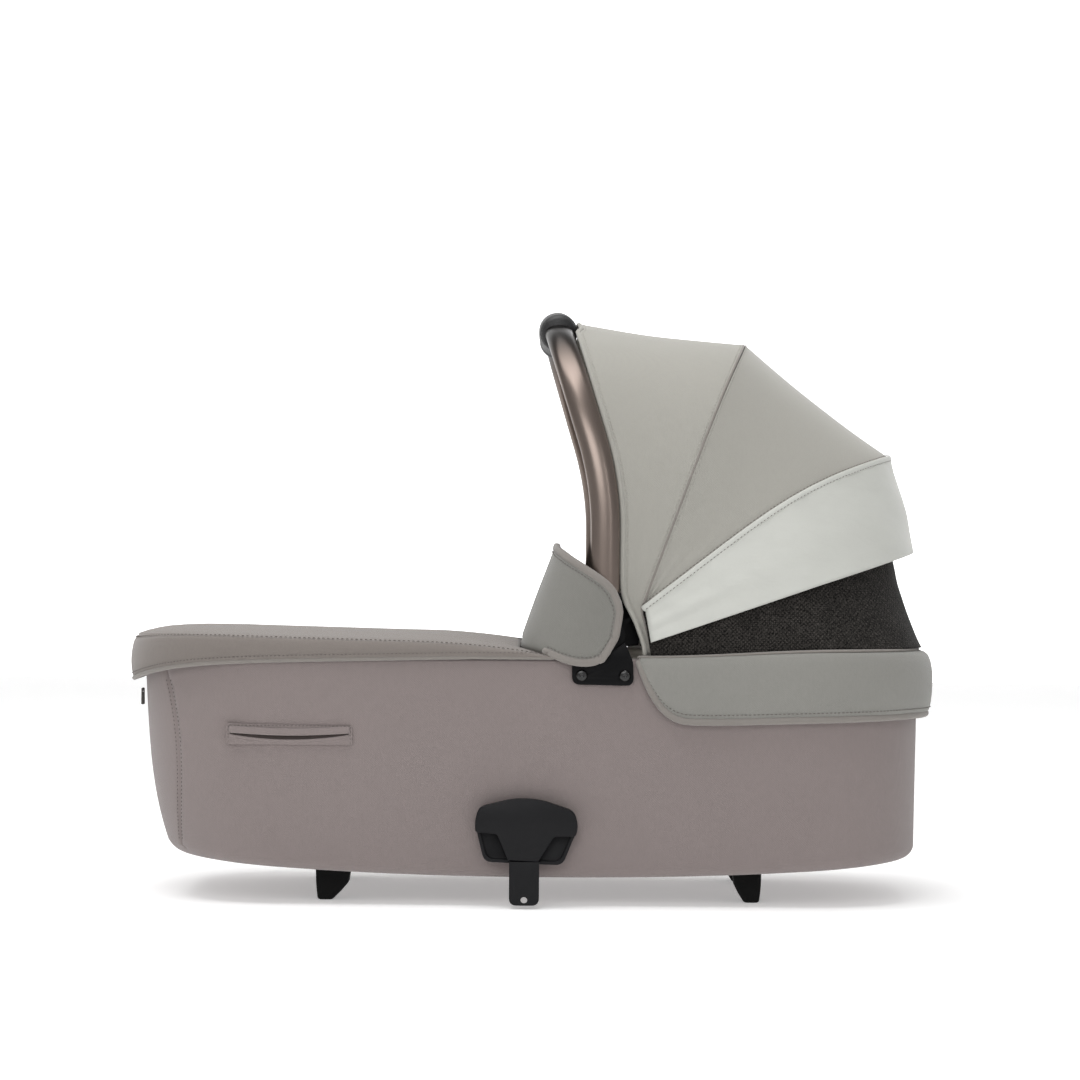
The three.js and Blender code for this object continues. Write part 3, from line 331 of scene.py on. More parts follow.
THIN_THREAD = {"thread": 0.0003, "melange": 0.05, "depth": 0.00005, "rough": 0.7}
COVER = fabric("cover_cloth", srgb(134, 124, 122))
APRON_CLOTH = fabric("apron_cloth", srgb(124, 117, 112))
SKIRT_CLOTH = fabric("skirt_cloth", srgb(136, 135, 130))
FLAP_CLOTH = fabric("flap_cloth", srgb(124, 123, 118))
HOOD = fabric("hood_cloth", srgb(160, 158, 151), melange=0.07)
BINDING = fabric("binding_cloth", srgb(134, 129, 124), thread=0.0007, melange=0.06)
VENT = satin("vent_satin", srgb(189, 190, 184))
NET = netting("black_net", srgb(41, 39, 37))
LINING = fabric("lining_jersey", srgb(190, 184, 175), thread=0.0007, melange=0.04)
QUILT = fabric("mattress_cotton", srgb(226, 222, 213), thread=0.0006, melange=0.03)
SLIT = fabric("pocket_shadow", srgb(52, 44, 42), thread=0.0007, melange=0.05)
THREAD = fabric("sewing_thread", srgb(98, 91, 87), **THIN_THREAD)
PALE_THREAD = fabric("pale_thread", srgb(160, 156, 149), **THIN_THREAD)
BLACK = plastic("black_plastic", srgb(22, 22, 24))
DARK = plastic("dark_plastic", srgb(17, 17, 18), 0.34, shine=0.07)
SHELL = plastic("shell_plastic", srgb(52, 52, 52), 0.6, 0.00008)
RUBBER = plastic("foot_rubber", srgb(18, 18, 18), 0.75, 0.00006)
# the handle's colour carries painted shade between 0.555 and 0.615 m high, under the grip
TUBE = metal("tube_paint", srgb(128, 116, 109), (0.26, 0.34), 0.9, painted_shade_span=(0.555, 0.615))
SCREW = metal("black_zinc", srgb(62, 62, 62), (0.2, 0.3))
STEEL = metal("zinc_steel", srgb(178, 178, 176), (0.24, 0.34))
WIRE = metal("frame_wire_coat", srgb(60, 58, 56), (0.46, 0.56), 0.2)
GRIP = leather("grip_leather", srgb(30, 30, 31))

# ---- mesh building


def mesh_object(name, points, faces, material):
    """A smooth-shaded mesh from points in millimetres."""
    mesh = bpy.data.meshes.new(name)
    mesh.from_pydata([Vector(p) * MM for p in points], [], faces)
    mesh.materials.append(material)
    mesh.shade_smooth()
    return add_object(name, mesh)


def settle(piece):
    """Writes a piece's modifiers into its mesh."""
    bpy.context.view_layer.update()
    evaluated = piece.evaluated_get(bpy.context.evaluated_depsgraph_get())
    mesh = bpy.data.meshes.new_from_object(evaluated)
    piece.modifiers.clear()
    piece.data = mesh
    return piece


def outward(piece):
    """Makes every face of a closed piece look out."""
    work = bmesh.new()
    work.from_mesh(piece.data)
    bmesh.ops.recalc_face_normals(work, faces=work.faces)
    work.to_mesh(piece.data)
    work.free()
    return piece


def place(piece, body, slot, nodes=()):
    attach(piece, body)
    if nodes:
        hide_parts(*nodes)
    return piece


def cloth_grid(name, at, us, vs, material, thickness, lift):
    """A closed sheet of cloth. at(u, v) gives its face, and lift(u, v, point) moves it along its normal."""
    rows = [[at(u, v) for u in us] for v in vs]
    width, count = len(us), len(vs)
    total = width * count
    outer, inner, faces = [], [], []
    for i, v in enumerate(vs):
        for j, u in enumerate(us):
            down = rows[min(i + 1, count - 1)][j] - rows[max(i - 1, 0)][j]
            across = rows[i][min(j + 1, width - 1)] - rows[i][max(j - 1, 0)]
            n = down.cross(across)
            n = n.normalized() if n.length > 1e-9 else Vector((0, 0, -1))
            p = rows[i][j] + n * lift(u, v, rows[i][j])
            rim = i in (0, count - 1) or j in (0, width - 1)
            half = thickness * (0.32 if rim else 0.5)
            outer.append(p + n * half)
            inner.append(p - n * half)
            if i and j:
                b, d = i * width + j - width, i * width + j
                faces += [(b - 1, b, d, d - 1), (total + b - 1, total + d - 1, total + d, total + b)]
    edge = list(range(width)) + [i * width + width - 1 for i in range(1, count)]
    edge += [(count - 1) * width + j for j in range(width - 2, -1, -1)] + [i * width for i in range(count - 2, 0, -1)]
    faces += [(a, total + a, total + b, b) for a, b in zip(edge, edge[1:] + edge[:1])]
    return outward(mesh_object(name, outer + inner, faces, material))


def loft_rings(name, rings, material, closed_path=False):
    """Skins equal rings of points, with a flat face over each end of an open path."""
    n, count = len(rings[0]), len(rings)
    faces = []
    for r in range(count if closed_path else count - 1):
        for i in range(n):
            a, b, above = r * n + i, r * n + (i + 1) % n, (r + 1) % count * n
            faces.append((a, b, above + (i + 1) % n, above + i))
    if not closed_path:
        faces += [tuple(range(n)), tuple(reversed(range((count - 1) * n, count * n)))]
    return outward(mesh_object(name, [p for ring in rings for p in ring], faces, material))


def path_frames(path, ups, closed=False):
    """A path's points, each with the directions across the path and up from it."""
    frames = []
    for k, (p, up) in enumerate(zip(path, ups)):
        tangent = (path[(k + 1) % len(path)] - path[k - 1]).normalized() if closed else tangent_at(path, k)
        side = tangent.cross(up).normalized()
        frames.append((p, side, side.cross(tangent).normalized()))
    return frames


def cord_piece(name, path, ups, section, material, body="tub", slot="cover_fabric", nodes=(), closed=False):
    """Sweeps a section of (across, up) pairs along a path, with rounded ends."""
    frames = path_frames(path, ups, closed)
    rings = [[p + side * a + up * b for a, b in section] for p, side, up in frames]
    if not closed:
        reach = max(abs(b) for _, b in section)
        for end, inner in ((0, 1), (-1, -2)):
            p, side, up = frames[end]
            away = (p - frames[inner][0]).normalized()
            extra = [p + away * reach * 0.6 + side * a * 0.55 + up * b * 0.55 for a, b in section]
            rings = [extra] + rings if end == 0 else rings + [extra]
    return place(loft_rings(name, rings, material, closed), body, slot, nodes)


def oval(a, b, sides=16, power=2.0):
    points = []
    for k in range(sides):
        angle = 2 * math.pi * k / sides
        c, s = math.cos(angle), math.sin(angle)
        points.append((a * math.copysign(abs(c) ** (2 / power), c), b * math.copysign(abs(s) ** (2 / power), s)))
    return points


def stitches(name, path, normals, thread, sizes, body="tub", slot="cover_fabric"):
    """One piece of many short stitches that dip into the cloth at both ends. sizes are a stitch's length, the gap
    after it, its radius and how far it stands off."""
    stitch, gap, radius, lift = sizes
    length, find = measured(path)
    points, faces = [], []

    def at(s):
        k, part = find(s)
        return path[k - 1].lerp(path[k], part), normals[k - 1].lerp(normals[k], part).normalized()

    sides = 5
    s = gap
    while s + stitch < length:
        base = len(points)
        for share, rise, girth in ((0, -0.45, 0.55), (0.22, lift, 1), (0.78, lift, 1), (1, -0.45, 0.55)):
            p, n = at(s + share * stitch)
            tangent = (at(s + share * stitch + 0.5)[0] - p).normalized()
            side = tangent.cross(n).normalized()
            points += [p + n * rise + (side * math.cos(a) + n * math.sin(a)) * radius * girth
                       for a in (2 * math.pi * k / sides for k in range(sides))]
        for r in range(3):
            for i in range(sides):
                a, b = base + r * sides + i, base + r * sides + (i + 1) % sides
                faces.append((a, b, b + sides, a + sides))
        faces.append(tuple(base + i for i in reversed(range(sides))))
        faces.append(tuple(base + 3 * sides + i for i in range(sides)))
        s += stitch + gap
    return place(outward(mesh_object(name, points, faces, thread)), body, slot)


def refined(node, material, body, slot, bevel):
    """A CAD node's shape with rounded edges and smooth curved faces, in place of the node."""
    source = frame["nodes"][node]
    mesh = source.data.copy()
    mesh.transform(source.matrix_world)
    piece = add_object(node + "_finished", mesh)
    work = bmesh.new()
    work.from_mesh(mesh)
    bmesh.ops.remove_doubles(work, verts=work.verts, dist=1e-6)
    bmesh.ops.dissolve_limit(work, angle_limit=math.radians(2), verts=work.verts, edges=work.edges)
    work.to_mesh(mesh)
    work.free()
    mesh.materials.clear()
    mesh.materials.append(material)
    rounding = piece.modifiers.new("round", "BEVEL")
    rounding.width = bevel * MM
    rounding.segments = 2
    rounding.angle_limit = math.radians(32)
    rounding.use_clamp_overlap = True
    settle(piece)
    piece.data.shade_smooth()
    piece.data.set_sharp_from_angle(angle=math.radians(40))
    return place(piece, body, slot, (node,))


def distance_to(path, points):
    """The distance of each point, in millimetres, to the nearest of a path's points."""
    line = np.array([tuple(p) for p in path])
    return np.array([np.sqrt(((line - q) ** 2).sum(axis=1)).min() for q in points])


def fan_blend(piece, body_a, body_b, path_a, path_b):
    """Bakes a hood panel's transform and works out each point's share of the way from path_a to path_b, between two
    bows that spread like a fan from the pivot. No one direction suits a fan, so the share is measured from the paths.
    The shares are not used, so nothing is blended. body_a and body_b are not used."""
    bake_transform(piece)
    points = np.array([tuple(v.co / MM) for v in piece.data.vertices])
    from_a, from_b = distance_to(path_a, points), distance_to(path_b, points)
    edge = 3.0
    share = np.clip((from_a - edge) / np.maximum(from_a + from_b - 2 * edge, 1e-6), 0, 1)
    share[from_b < edge] = 1
    share[from_a < edge] = 0
    return piece


# ---- the body's plan

FOOT_END, HEAD_END, HALF_WIDTH, CORNER = 421.5, 419.0, 213.0, 130.0
RIM_Z, FLOOR_Z, EDGE_RADIUS = 263.5, 30.3, 12.0


def bottom_sag(x):
    return 12 * abs((x - 20) / 330) ** 2.2


def plan_point(s, foot, head, width, radius):
    """A point of a plan with rounded corners. s runs 0-9 round it: the head end's far half, its far corner,
    the far side, the far foot corner, the foot end, the near foot corner, the near side, the near head
    corner and the head end's near half."""
    stretch, t = int(s) % 9, s % 1
    corners = {1: (0, 1, 1), 3: (90, -1, 1), 5: (180, -1, -1), 7: (270, 1, -1)}
    if stretch in corners:
        start, end, side = corners[stretch]
        angle = math.radians(start + 90 * t)
        centre_x = head - radius if end > 0 else -foot + radius
        return centre_x + radius * math.cos(angle), side * (width - radius) + radius * math.sin(angle)
    straights = {
        0: ((head, 0), (head, width - radius)), 2: ((head - radius, width), (-foot + radius, width)),
        4: ((-foot, width - radius), (-foot, -(width - radius))),
        6: ((-foot + radius, -width), (head - radius, -width)), 8: ((head, -(width - radius)), (head, 0)),
    }
    (x0, y0), (x1, y1) = straights[stretch]
    return lerp(x0, x1, t), lerp(y0, y1, t)


def plan_steps(corner=14, side=22, end=5):
    counts = [end, corner, side, corner, 2 * end, corner, side, corner, end]
    return [k + t / n for k, n in enumerate(counts) for t in range(n)]


def body_sizes(down, inset):
    return (FOOT_END - 11.9 * down - 18.5 * down ** 4 - inset, HEAD_END - 2 * down - inset,
            HALF_WIDTH - 8 * down - 12 * down ** 3 - inset, CORNER - 12 * down - inset)


def wall_y(z):
    return body_sizes((RIM_Z - z) / (RIM_Z - FLOOR_Z), 0)[2]


def plan_ring(stretches, sizes, z_at, scale=1.0):
    """The plan's outline, drawn in to its middle by a scale, at a height worked out from x."""
    plan = [plan_point(s, *sizes) for s in stretches]
    return [Vector((x * scale, y * scale, z_at(x * scale))) for x, y in plan]


def over_floor(lift):
    return lambda x: FLOOR_Z + lift + bottom_sag(x)


def body_rings(inset_at, top_z, floor_lift, stretches, lift=None):
    """Rings of a tub-shaped skin from near the middle of its floor up to its rim."""
    rings = []
    radius = EDGE_RADIUS - floor_lift * 0.6
    edge_down = 1 - EDGE_RADIUS / (RIM_Z - FLOOR_Z)
    floor = body_sizes(1, inset_at(1) + radius)
    rings += [plan_ring(stretches, floor, over_floor(floor_lift), scale)
              for scale in (0.02, 0.2, 0.4, 0.6, 0.8, 0.93, 1.0)]
    for k in range(1, 6):
        turn = math.pi / 2 * k / 6
        down = 1 - (1 - edge_down) * (1 - math.cos(turn))
        sizes = body_sizes(down, inset_at(1) + radius * (1 - math.sin(turn)))
        rings.append(plan_ring(stretches, sizes, over_floor(floor_lift + radius * (1 - math.cos(turn)))))
    levels = 26
    for k in range(levels + 1):
        down = edge_down * (1 - k / levels)
        ring = []
        for s in stretches:
            warped = seam_warp(s, down)
            x, y = plan_point(warped, *body_sizes(down, inset_at(down)))
            z = lerp(top_z, FLOOR_Z + bottom_sag(x) + floor_lift * 0.5, down)
            p = Vector((x, y, z))
            if lift:
                p += out_from_plan(warped) * lift(s, down, p)
            ring.append(p)
        rings.append(ring)
    return rings


def out_from_plan(s):
    stretch, t = int(s) % 9, s % 1
    turns = stretch // 2 + (t if stretch % 2 else 0) if stretch < 8 else 0
    return Vector((math.cos(math.pi / 2 * turns), math.sin(math.pi / 2 * turns), 0))


# ---- the sewn cover

SEAM_AT = {5: 0.42, 3: 0.58}  # where the foot corners' seams cross the rim
SEAM_COLUMNS = (-0.045, -0.016, -0.006, 0, 0.006, 0.016, 0.045)


def seam_warp(s, down):
    """Moves the columns of a foot corner so that one column follows its bowed seam."""
    stretch, t = int(s), s % 1
    if stretch not in SEAM_AT or t == 0:
        return s
    top = SEAM_AT[stretch]
    bow = 0.504 * down - 0.576 * down ** 2
    seam = top + (bow if stretch == 5 else -bow)
    warped = t * seam / top if t < top else 1 - (1 - t) * (1 - seam) / (1 - top)
    return stretch + warped


def cover_columns():
    columns = set(round(s, 5) for s in plan_steps(corner=18, side=46, end=8))
    for stretch, t in SEAM_AT.items():
        columns = {s for s in columns if abs(s - stretch - t) > 0.05}
        columns |= {round(stretch + t + d, 5) for d in SEAM_COLUMNS}
    return sorted(columns)


def cover_lift(s, down, p):
    lift = 0.9 * wrinkle(p, 150, 3.1) * smooth(down / 0.15) * smooth((1 - down) / 0.1)
    for stretch, t in SEAM_AT.items():
        off = abs(s - stretch - t) * 204
        lift -= 1.5 * bell(off, 1.6)
        lift += 0.55 * bell(off - 6, 6) * (0.6 + wrinkle((p.z, 0, 0), 9, stretch))
    return lift


columns = cover_columns()
thickness = 2.3
outer = body_rings(lambda down: 0.0, 260.0, 0.0, columns, cover_lift)
lip = [plan_ring(columns, body_sizes(0, inset), lambda x, z=z: z) for inset, z in (
    (0.6, 262.0), (2.6, 263.4), (6, 263.9), (11.5, 263.6), (13.4, 262.4), (13.5, 260.2), (6, 260.0))]
inner = list(reversed(body_rings(lambda down: thickness, 259.8, thickness, columns)))
cover = loft_rings("cover_skin", outer + lip + inner, COVER)
place(cover, "tub", "cover_fabric", ("outer_cover",))

for stretch, label in ((5, "near"), (3, "far")):
    for side, sign in (("foot", -1), ("head", 1)):
        path, normals = [], []
        for k in range(60):
            down = lerp(0.1, 0.93, k / 59)
            s = seam_warp(stretch + SEAM_AT[stretch] + sign * 0.017, down)
            x, y = plan_point(s, *body_sizes(down, 0))
            path.append(Vector((x, y, lerp(260.0, FLOOR_Z + bottom_sag(x), down))))
            normals.append(out_from_plan(s))
        stitches(f"cover_stitches_{label}_{side}", path, normals, THREAD, (2.6, 1.8, 0.35, 0.75))

# ---- lining and mattress


def lining_inset(top, wall):
    return lambda down: lerp(top, wall, smooth(down / 0.4))


def lining_lift(s, down, p):
    folds = 1.4 * wrinkle((p.x, p.y, p.z * 0.12), 34, 7.7) * smooth(down / 0.3)
    return -abs(folds) * 0.9


lining_columns = plan_steps(corner=22, side=50, end=10)
outer = body_rings(lining_inset(14.1, 6.8), 262.0, 8.4, lining_columns)
inner = list(reversed(body_rings(lining_inset(16.1, 8.8), 262.0, 10.4, lining_columns, lining_lift)))
lining = loft_rings("lining_cloth", outer + inner, LINING)
place(lining, "tub", "lining_fabric", ("inner_lining",))


rim_line = plan_ring(lining_columns, body_sizes(0, 15.2), lambda x: 263.2)
cord_piece("rim_piping", rim_line, [Vector((0, 0, 1))] * len(rim_line), oval(1.8, 1.8, 10), BINDING, closed=True)

MATTRESS_BASE, MATTRESS_TOP, MATTRESS_INSET = 11.5, 43.5, 18.0


def mattress_piece():
    stretches = plan_steps(corner=12, side=30, end=8)
    profile = [(body_sizes(0.9, MATTRESS_INSET + more), over_floor(lift)) for more, lift in (
        (9, MATTRESS_BASE + 0.5), (3, MATTRESS_BASE + 2.5), (0.5, MATTRESS_BASE + 9), (0.5, MATTRESS_TOP - 10),
        (3, MATTRESS_TOP - 3.5), (9, MATTRESS_TOP - 1), (14, MATTRESS_TOP - 0.5))]
    scales = (0.03, 0.35, 0.7, 0.9)
    rings = [plan_ring(stretches, *profile[0], scale) for scale in scales]
    rings += [plan_ring(stretches, *level) for level in profile]
    rings += [plan_ring(stretches, *profile[-1], scale) for scale in reversed(scales)]
    return loft_rings("mattress_pad", rings, QUILT)


def puffed(piece, voxel, pressure, cap):
    """Voxel remesh, then a short cloth run under pressure. Each point moves no further than cap."""
    remesh = piece.modifiers.new("remesh", "REMESH")
    remesh.mode = "VOXEL"
    remesh.voxel_size = voxel * MM
    settle(piece)
    before = [v.co.copy() for v in piece.data.vertices]
    cloth = piece.modifiers.new("cloth", "CLOTH")
    cloth.settings.use_pressure = True
    cloth.settings.uniform_pressure_force = pressure
    cloth.settings.effector_weights.gravity = 0
    cloth.settings.quality = 4
    scene = bpy.context.scene
    frames = 14
    cloth.point_cache.frame_start = 1
    cloth.point_cache.frame_end = frames
    for f in range(1, frames + 1):
        scene.frame_set(f)
    settle(piece)
    scene.frame_set(1)
    for v, start in zip(piece.data.vertices, before):
        move = v.co - start
        if move.length > cap * MM:
            v.co = start + move * (cap * MM / move.length)
    piece.data.shade_smooth()
    return piece


QUILT_PITCH = 62.0


def quilted(piece):
    """Presses the diagonal sewn channels into the mattress's top."""
    for v in piece.data.vertices:
        x, y, z = v.co / MM
        top = FLOOR_Z + bottom_sag(x) + MATTRESS_TOP
        share = smooth((z - top + 9) / 6)
        a, b = (x + y) / QUILT_PITCH, (x - y) / QUILT_PITCH
        near = min(abs(a - round(a)), abs(b - round(b))) * QUILT_PITCH / math.sqrt(2)
        v.co.z += share * MM * (0.8 - 3.2 * bell(near, 5.0))
    return piece


mattress = quilted(puffed(mattress_piece(), 5.0, 3.0, 2.0))
place(mattress, "tub", "mattress_fabric", ("mattress",))

# ---- wind flap

FLAP_SIDE, FLAP_CORNER, FLAP_THICK, FLAP_END = 223.0, 60.0, 3.6, 294.0
FLAP_FOOT_X, FLAP_FOOT_Z, FLAP_LOBE = -12, 274, 74
FLAP_TOP = ((0, 384), (163, 384), (196, 377), (225, 365.5), (250, 353), (268, 342), (280, 330), (289, 314), (294, 290))
FLAP_FOOT = ((0, 280), (120, 279.5), (190, 274), (226, 268.5), (240, 262), (256, 257.8), (272, 257.5), (284, 262),
             (291, 272), (294, 286))


def flap_front_x(z):
    """The flap leans back from its foot, and a little less above its bend."""
    return FLAP_FOOT_X + 0.37 * max(0, z - FLAP_FOOT_Z) - 0.00055 * max(0, z - 340) ** 2


def flap_point(s, z, out=0.0):
    straight = FLAP_SIDE - FLAP_CORNER
    quarter = FLAP_CORNER * math.pi / 2
    length, side = abs(s), math.copysign(1, s)
    x = flap_front_x(z)
    if length <= straight:
        return Vector((x - out, side * length, z))
    if length <= straight + quarter:
        a = (length - straight) / FLAP_CORNER
        reach = FLAP_CORNER + out
        return Vector((x + FLAP_CORNER - reach * math.cos(a), side * (straight + reach * math.sin(a)), z))
    return Vector((x + FLAP_CORNER + length - straight - quarter, side * (FLAP_SIDE + out), z))


def flap_outline(pairs, s):
    return (eased if abs(s) < 282 else through)(pairs, abs(s))


def flap_at(u, v):
    s = lerp(-FLAP_END, FLAP_END, u)
    return flap_point(s, lerp(flap_outline(FLAP_FOOT, s), flap_outline(FLAP_TOP, s), v))


def flap_columns(n):
    return [0.5 - 0.5 * math.copysign(math.sin(math.pi * abs(0.5 - k / n)) ** 0.85, 0.5 - k / n) for k in range(n + 1)]


def flap_lift(u, v, p):
    puff = 0.9 * math.sin(math.pi * clamp01(v)) ** 0.5
    return puff + 0.8 * wrinkle(p, 70, 5.5) * math.sin(math.pi * v)


flap = cloth_grid("wind_flap_cloth", flap_at, flap_columns(150), steps(22), FLAP_CLOTH, FLAP_THICK, flap_lift)
place(flap, "wind_flap", "cover_fabric", ("wind_flap",))


def flap_edge():
    """The flap's free edge: round one lobe, along the top and round the other lobe."""
    lobe = [FLAP_END - FLAP_LOBE + FLAP_LOBE * math.sin(math.pi / 2 * t) for t in steps(30)]
    top = [FLAP_END * math.cos(math.pi / 2 * t) for t in steps(40)[1:]]
    half = [(s, flap_outline(FLAP_FOOT, s)) for s in lobe] + [(s, flap_outline(FLAP_TOP, s)) for s in top]
    return [(-s, z) for s, z in half] + half[-2::-1]


def outward_on_flap(s):
    straight = FLAP_SIDE - FLAP_CORNER
    a = clamp01((abs(s) - straight) / (FLAP_CORNER * math.pi / 2)) * math.pi / 2
    return Vector((-math.cos(a), math.copysign(math.sin(a), s), 0.25 * math.cos(a))).normalized()


def inset_edge(edge, inset):
    """Moves an edge of (s, z) pairs inwards on the flap."""
    middle_s, middle_z = 200, 325
    moved = []
    for k, (s, z) in enumerate(edge):
        (s0, z0), (s1, z1) = edge[max(0, k - 2)], edge[min(len(edge) - 1, k + 2)]
        length = math.hypot(s1 - s0, z1 - z0) or 1
        normal = ((z1 - z0) / length, -(s1 - s0) / length)
        inward = (math.copysign(middle_s, s) - s) * normal[0] + (middle_z - z) * normal[1]
        step = inset if inward > 0 else -inset
        moved.append((s + step * normal[0], z + step * normal[1]))
    return moved


edge = flap_edge()
middle = [flap_point(s, z, 0.6) for s, z in inset_edge(edge, 2.6)]
edge_normals = [outward_on_flap(s) for s, _ in edge]
cord_piece("wind_flap_binding", middle, edge_normals, oval(4.3, 3.3, 14, 2.4), BINDING, "wind_flap")
line = [flap_point(s, z, 2.9) for s, z in inset_edge(edge, 7.8)]
stitches("wind_flap_stitches", line, edge_normals, THREAD, (2.8, 1.6, 0.38, 0.2), "wind_flap")

# ---- apron


def apron_low_z(x):
    t = clamp01((-x - 60) / 377)
    return 264.8 - 9 * t - 21 * t ** 8


def apron_seam_z(x):
    drop_at_foot = 5.4 * clamp01((-x - 360) / 75) ** 2
    drop_at_flap = 10 * clamp01((x + 120) / 136) ** 2
    return 286 - 0.024 * max(0, min(x, 20) + 330) - drop_at_foot - drop_at_flap


APRON_FOOT, APRON_SIDE, APRON_CORNER, APRON_TIP, APRON_GAP = 436.0, 219.0, 133.5, math.radians(66), 1.9


def apron_outline():
    """(x, y, outward angle, share of the full side height) round the apron, from the near tip round the foot
    end to the far tip and back along the wind flap's foot."""
    n_side, n_corner, n_foot, n_flap = 60, 34, 30, 70
    foot, width, radius = APRON_FOOT, APRON_SIDE, APRON_CORNER
    tip_x = FLAP_FOOT_X + FLAP_CORNER - (FLAP_CORNER + APRON_GAP) * math.cos(APRON_TIP)
    points = []
    for k in range(n_side):
        points.append((lerp(tip_x, -foot + radius, k / n_side), -width, -math.pi / 2, 1))
    for k in range(n_corner):
        a = -math.pi / 2 * (1 + k / n_corner)
        points.append((-foot + radius + radius * math.cos(a), -(width - radius) + radius * math.sin(a), a, 1))
    for k in range(n_foot):
        points.append((-foot, lerp(-(width - radius), width - radius, k / n_foot), math.pi, 1))
    far = [(x, -y, -a, w) for x, y, a, w in reversed(points[1:n_side + n_corner])]
    points += [(-foot, width - radius, math.pi, 1)] + far
    points.append((tip_x, width, math.pi / 2, 1))
    limit = FLAP_SIDE - FLAP_CORNER + FLAP_CORNER * APRON_TIP
    for k in range(1, n_flap):
        p = flap_point(lerp(limit, -limit, k / n_flap), FLAP_FOOT_Z, APRON_GAP)
        points.append((p.x, p.y, 0.0, 0))
    return points


outline = apron_outline()
APRON_CENTRE = Vector((-205, 0, 0))


def apron_ring(inset, z_at):
    ring = []
    for x, y, angle, full in outline:
        px = x - inset * math.cos(angle) * full
        py = y - inset * math.sin(angle) * full
        ring.append(Vector((px, py, z_at(px, py, full))))
    return ring


def side_z(share):
    return lambda x, y, full: lerp(apron_seam_z(x) - 2.4, lerp(apron_low_z(x), apron_seam_z(x), share), full)


def apron_crown(x, y):
    dome = 1 - min(1, abs(y) / 212) ** 2
    return apron_seam_z(x) + 1.2 + 4.6 * dome + 0.9 * wrinkle((x, y, 0), 85, 2.2) * dome


def inner_ring(scale, drop=0.0):
    ring = []
    for x, y, angle, full in outline:
        px = lerp(APRON_CENTRE.x, x - 7 * math.cos(angle) * full, scale)
        py = lerp(0, y - 7 * math.sin(angle) * full, scale)
        edge_drop = 1.6 * smooth((scale - 0.93) / 0.07)
        ring.append(Vector((px, py, apron_crown(px, py) - drop - edge_drop)))
    return ring


def side_bulge(t):
    """The side's swell between the lower piping and the upper seam."""
    return 4.6 - 4.8 * math.sin(math.pi * (0.12 + 0.8 * t)) ** 0.7


SIDE_LEVELS = 12
outer = [apron_ring(side_bulge(t), side_z(lerp(0.02, 0.9, t))) for t in steps(SIDE_LEVELS)]
outer += [apron_ring(5.2, side_z(0.985)), apron_ring(6.4, side_z(0.94))]
scales = (0.995, 0.98, 0.955, 0.92, 0.86, 0.76, 0.62, 0.46, 0.28, 0.12, 0.03)
outer += [inner_ring(scale) for scale in scales]
inside = [inner_ring(scale, 3.0) for scale in reversed(scales[2:])]
inside += [apron_ring(inset, side_z(share)) for inset, share in ((8.5, 0.84), (6.2, 0.6), (5.8, 0.3), (6.4, 0.06))]
apron = loft_rings("apron_cloth", inside + outer, APRON_CLOTH)
place(apron, "tub", "cover_fabric", ("apron_cover",))

along = [point for point in outline if point[3] == 1]
angle_out = [Vector((math.cos(a), math.sin(a), 0)) for _, _, a, _ in along]


def apron_path(inset, z_at):
    return [Vector((x - inset * n.x, y - inset * n.y, z_at(x))) for (x, y, _, _), n in zip(along, angle_out)]


cord_piece("apron_piping", apron_path(3.4, lambda x: apron_low_z(x) + 0.6), angle_out, oval(2.6, 2.5, 12), BINDING)
stitches("apron_stitches_low", apron_path(-0.1, lambda x: apron_low_z(x) + 5.4), angle_out, THREAD,
         (2.6, 1.8, 0.36, 0.1))
top_normals = [(n * 0.7 + Vector((0, 0, 1))).normalized() for n in angle_out]
stitches("apron_stitches_top", apron_path(4.6, lambda x: apron_seam_z(x) + 0.4), top_normals, THREAD,
         (2.8, 2.2, 0.42, 0.1))

# ---- the hood's bows

PIVOT = Vector((76, 0, 288))
ARCH_POWER = 3.4
HANDLE_HALF_WIDTH, HANDLE_TOP = 208.0, 620.0
TUBE_FORE_AFT, TUBE_LATERAL = 15.5, 10.0


def handle_x(z):
    start, end, lean = 400, 500, 0.305
    if z < start:
        return 76.5
    if z < end:
        return 76.5 - lean * (z - start) ** 2 / (2 * (end - start))
    return 76.5 - lean * ((end - start) / 2 + z - end)


def arch(half_width, top_z, foot_z, x_at):
    """An arch over the pivots, as a function of the share of its length from the near foot to the far one."""
    fine = []
    count = 720
    for k in range(count + 1):
        a = math.pi * k / count
        y = -half_width * math.copysign(abs(math.cos(a)) ** (2 / ARCH_POWER), math.cos(a))
        z = PIVOT.z + (top_z - PIVOT.z) * max(0, math.sin(a)) ** (2 / ARCH_POWER)
        if z >= foot_z:
            fine.append(Vector((x_at(z), y, z)))
    z = min(PIVOT.z, fine[0].z)
    while z >= foot_z:
        fine.insert(0, Vector((x_at(z), -half_width, z)))
        fine.append(Vector((x_at(z), half_width, z)))
        z -= 4
    return by_share(fine)


GATHER_X, GATHER_Z, SEAM_FOOT_Z = 115.0, 315.0, 266.0
FRONT_TOP, REAR_TOP = (231.5, 605.0), (391.0, 482.5)
HEM = ((275, 119), (288, 114.5), (303, 109.5), (315, 102.5), (329, 95.5), (350, 94.5))


def seam_x(top, bow):
    def x_at(z):
        t = clamp01((z - GATHER_Z) / (top[1] - GATHER_Z))
        return GATHER_X + (top[0] - GATHER_X) * ((1 - bow) * t + bow * t ** 6)
    return x_at


front_seam_x = seam_x(FRONT_TOP, 0.08)
rear_seam_x = seam_x(REAR_TOP, 0.22)


def hem_x(z):
    if z < 350:
        return eased(HEM, z)
    return handle_x(z) + TUBE_FORE_AFT + 2.6


def front_seam_low_x(z):
    return lerp(126.5, GATHER_X, (z - 275) / 40) if z < GATHER_Z else front_seam_x(z)


hem_base = arch(206, 627, SEAM_FOOT_Z, hem_x)


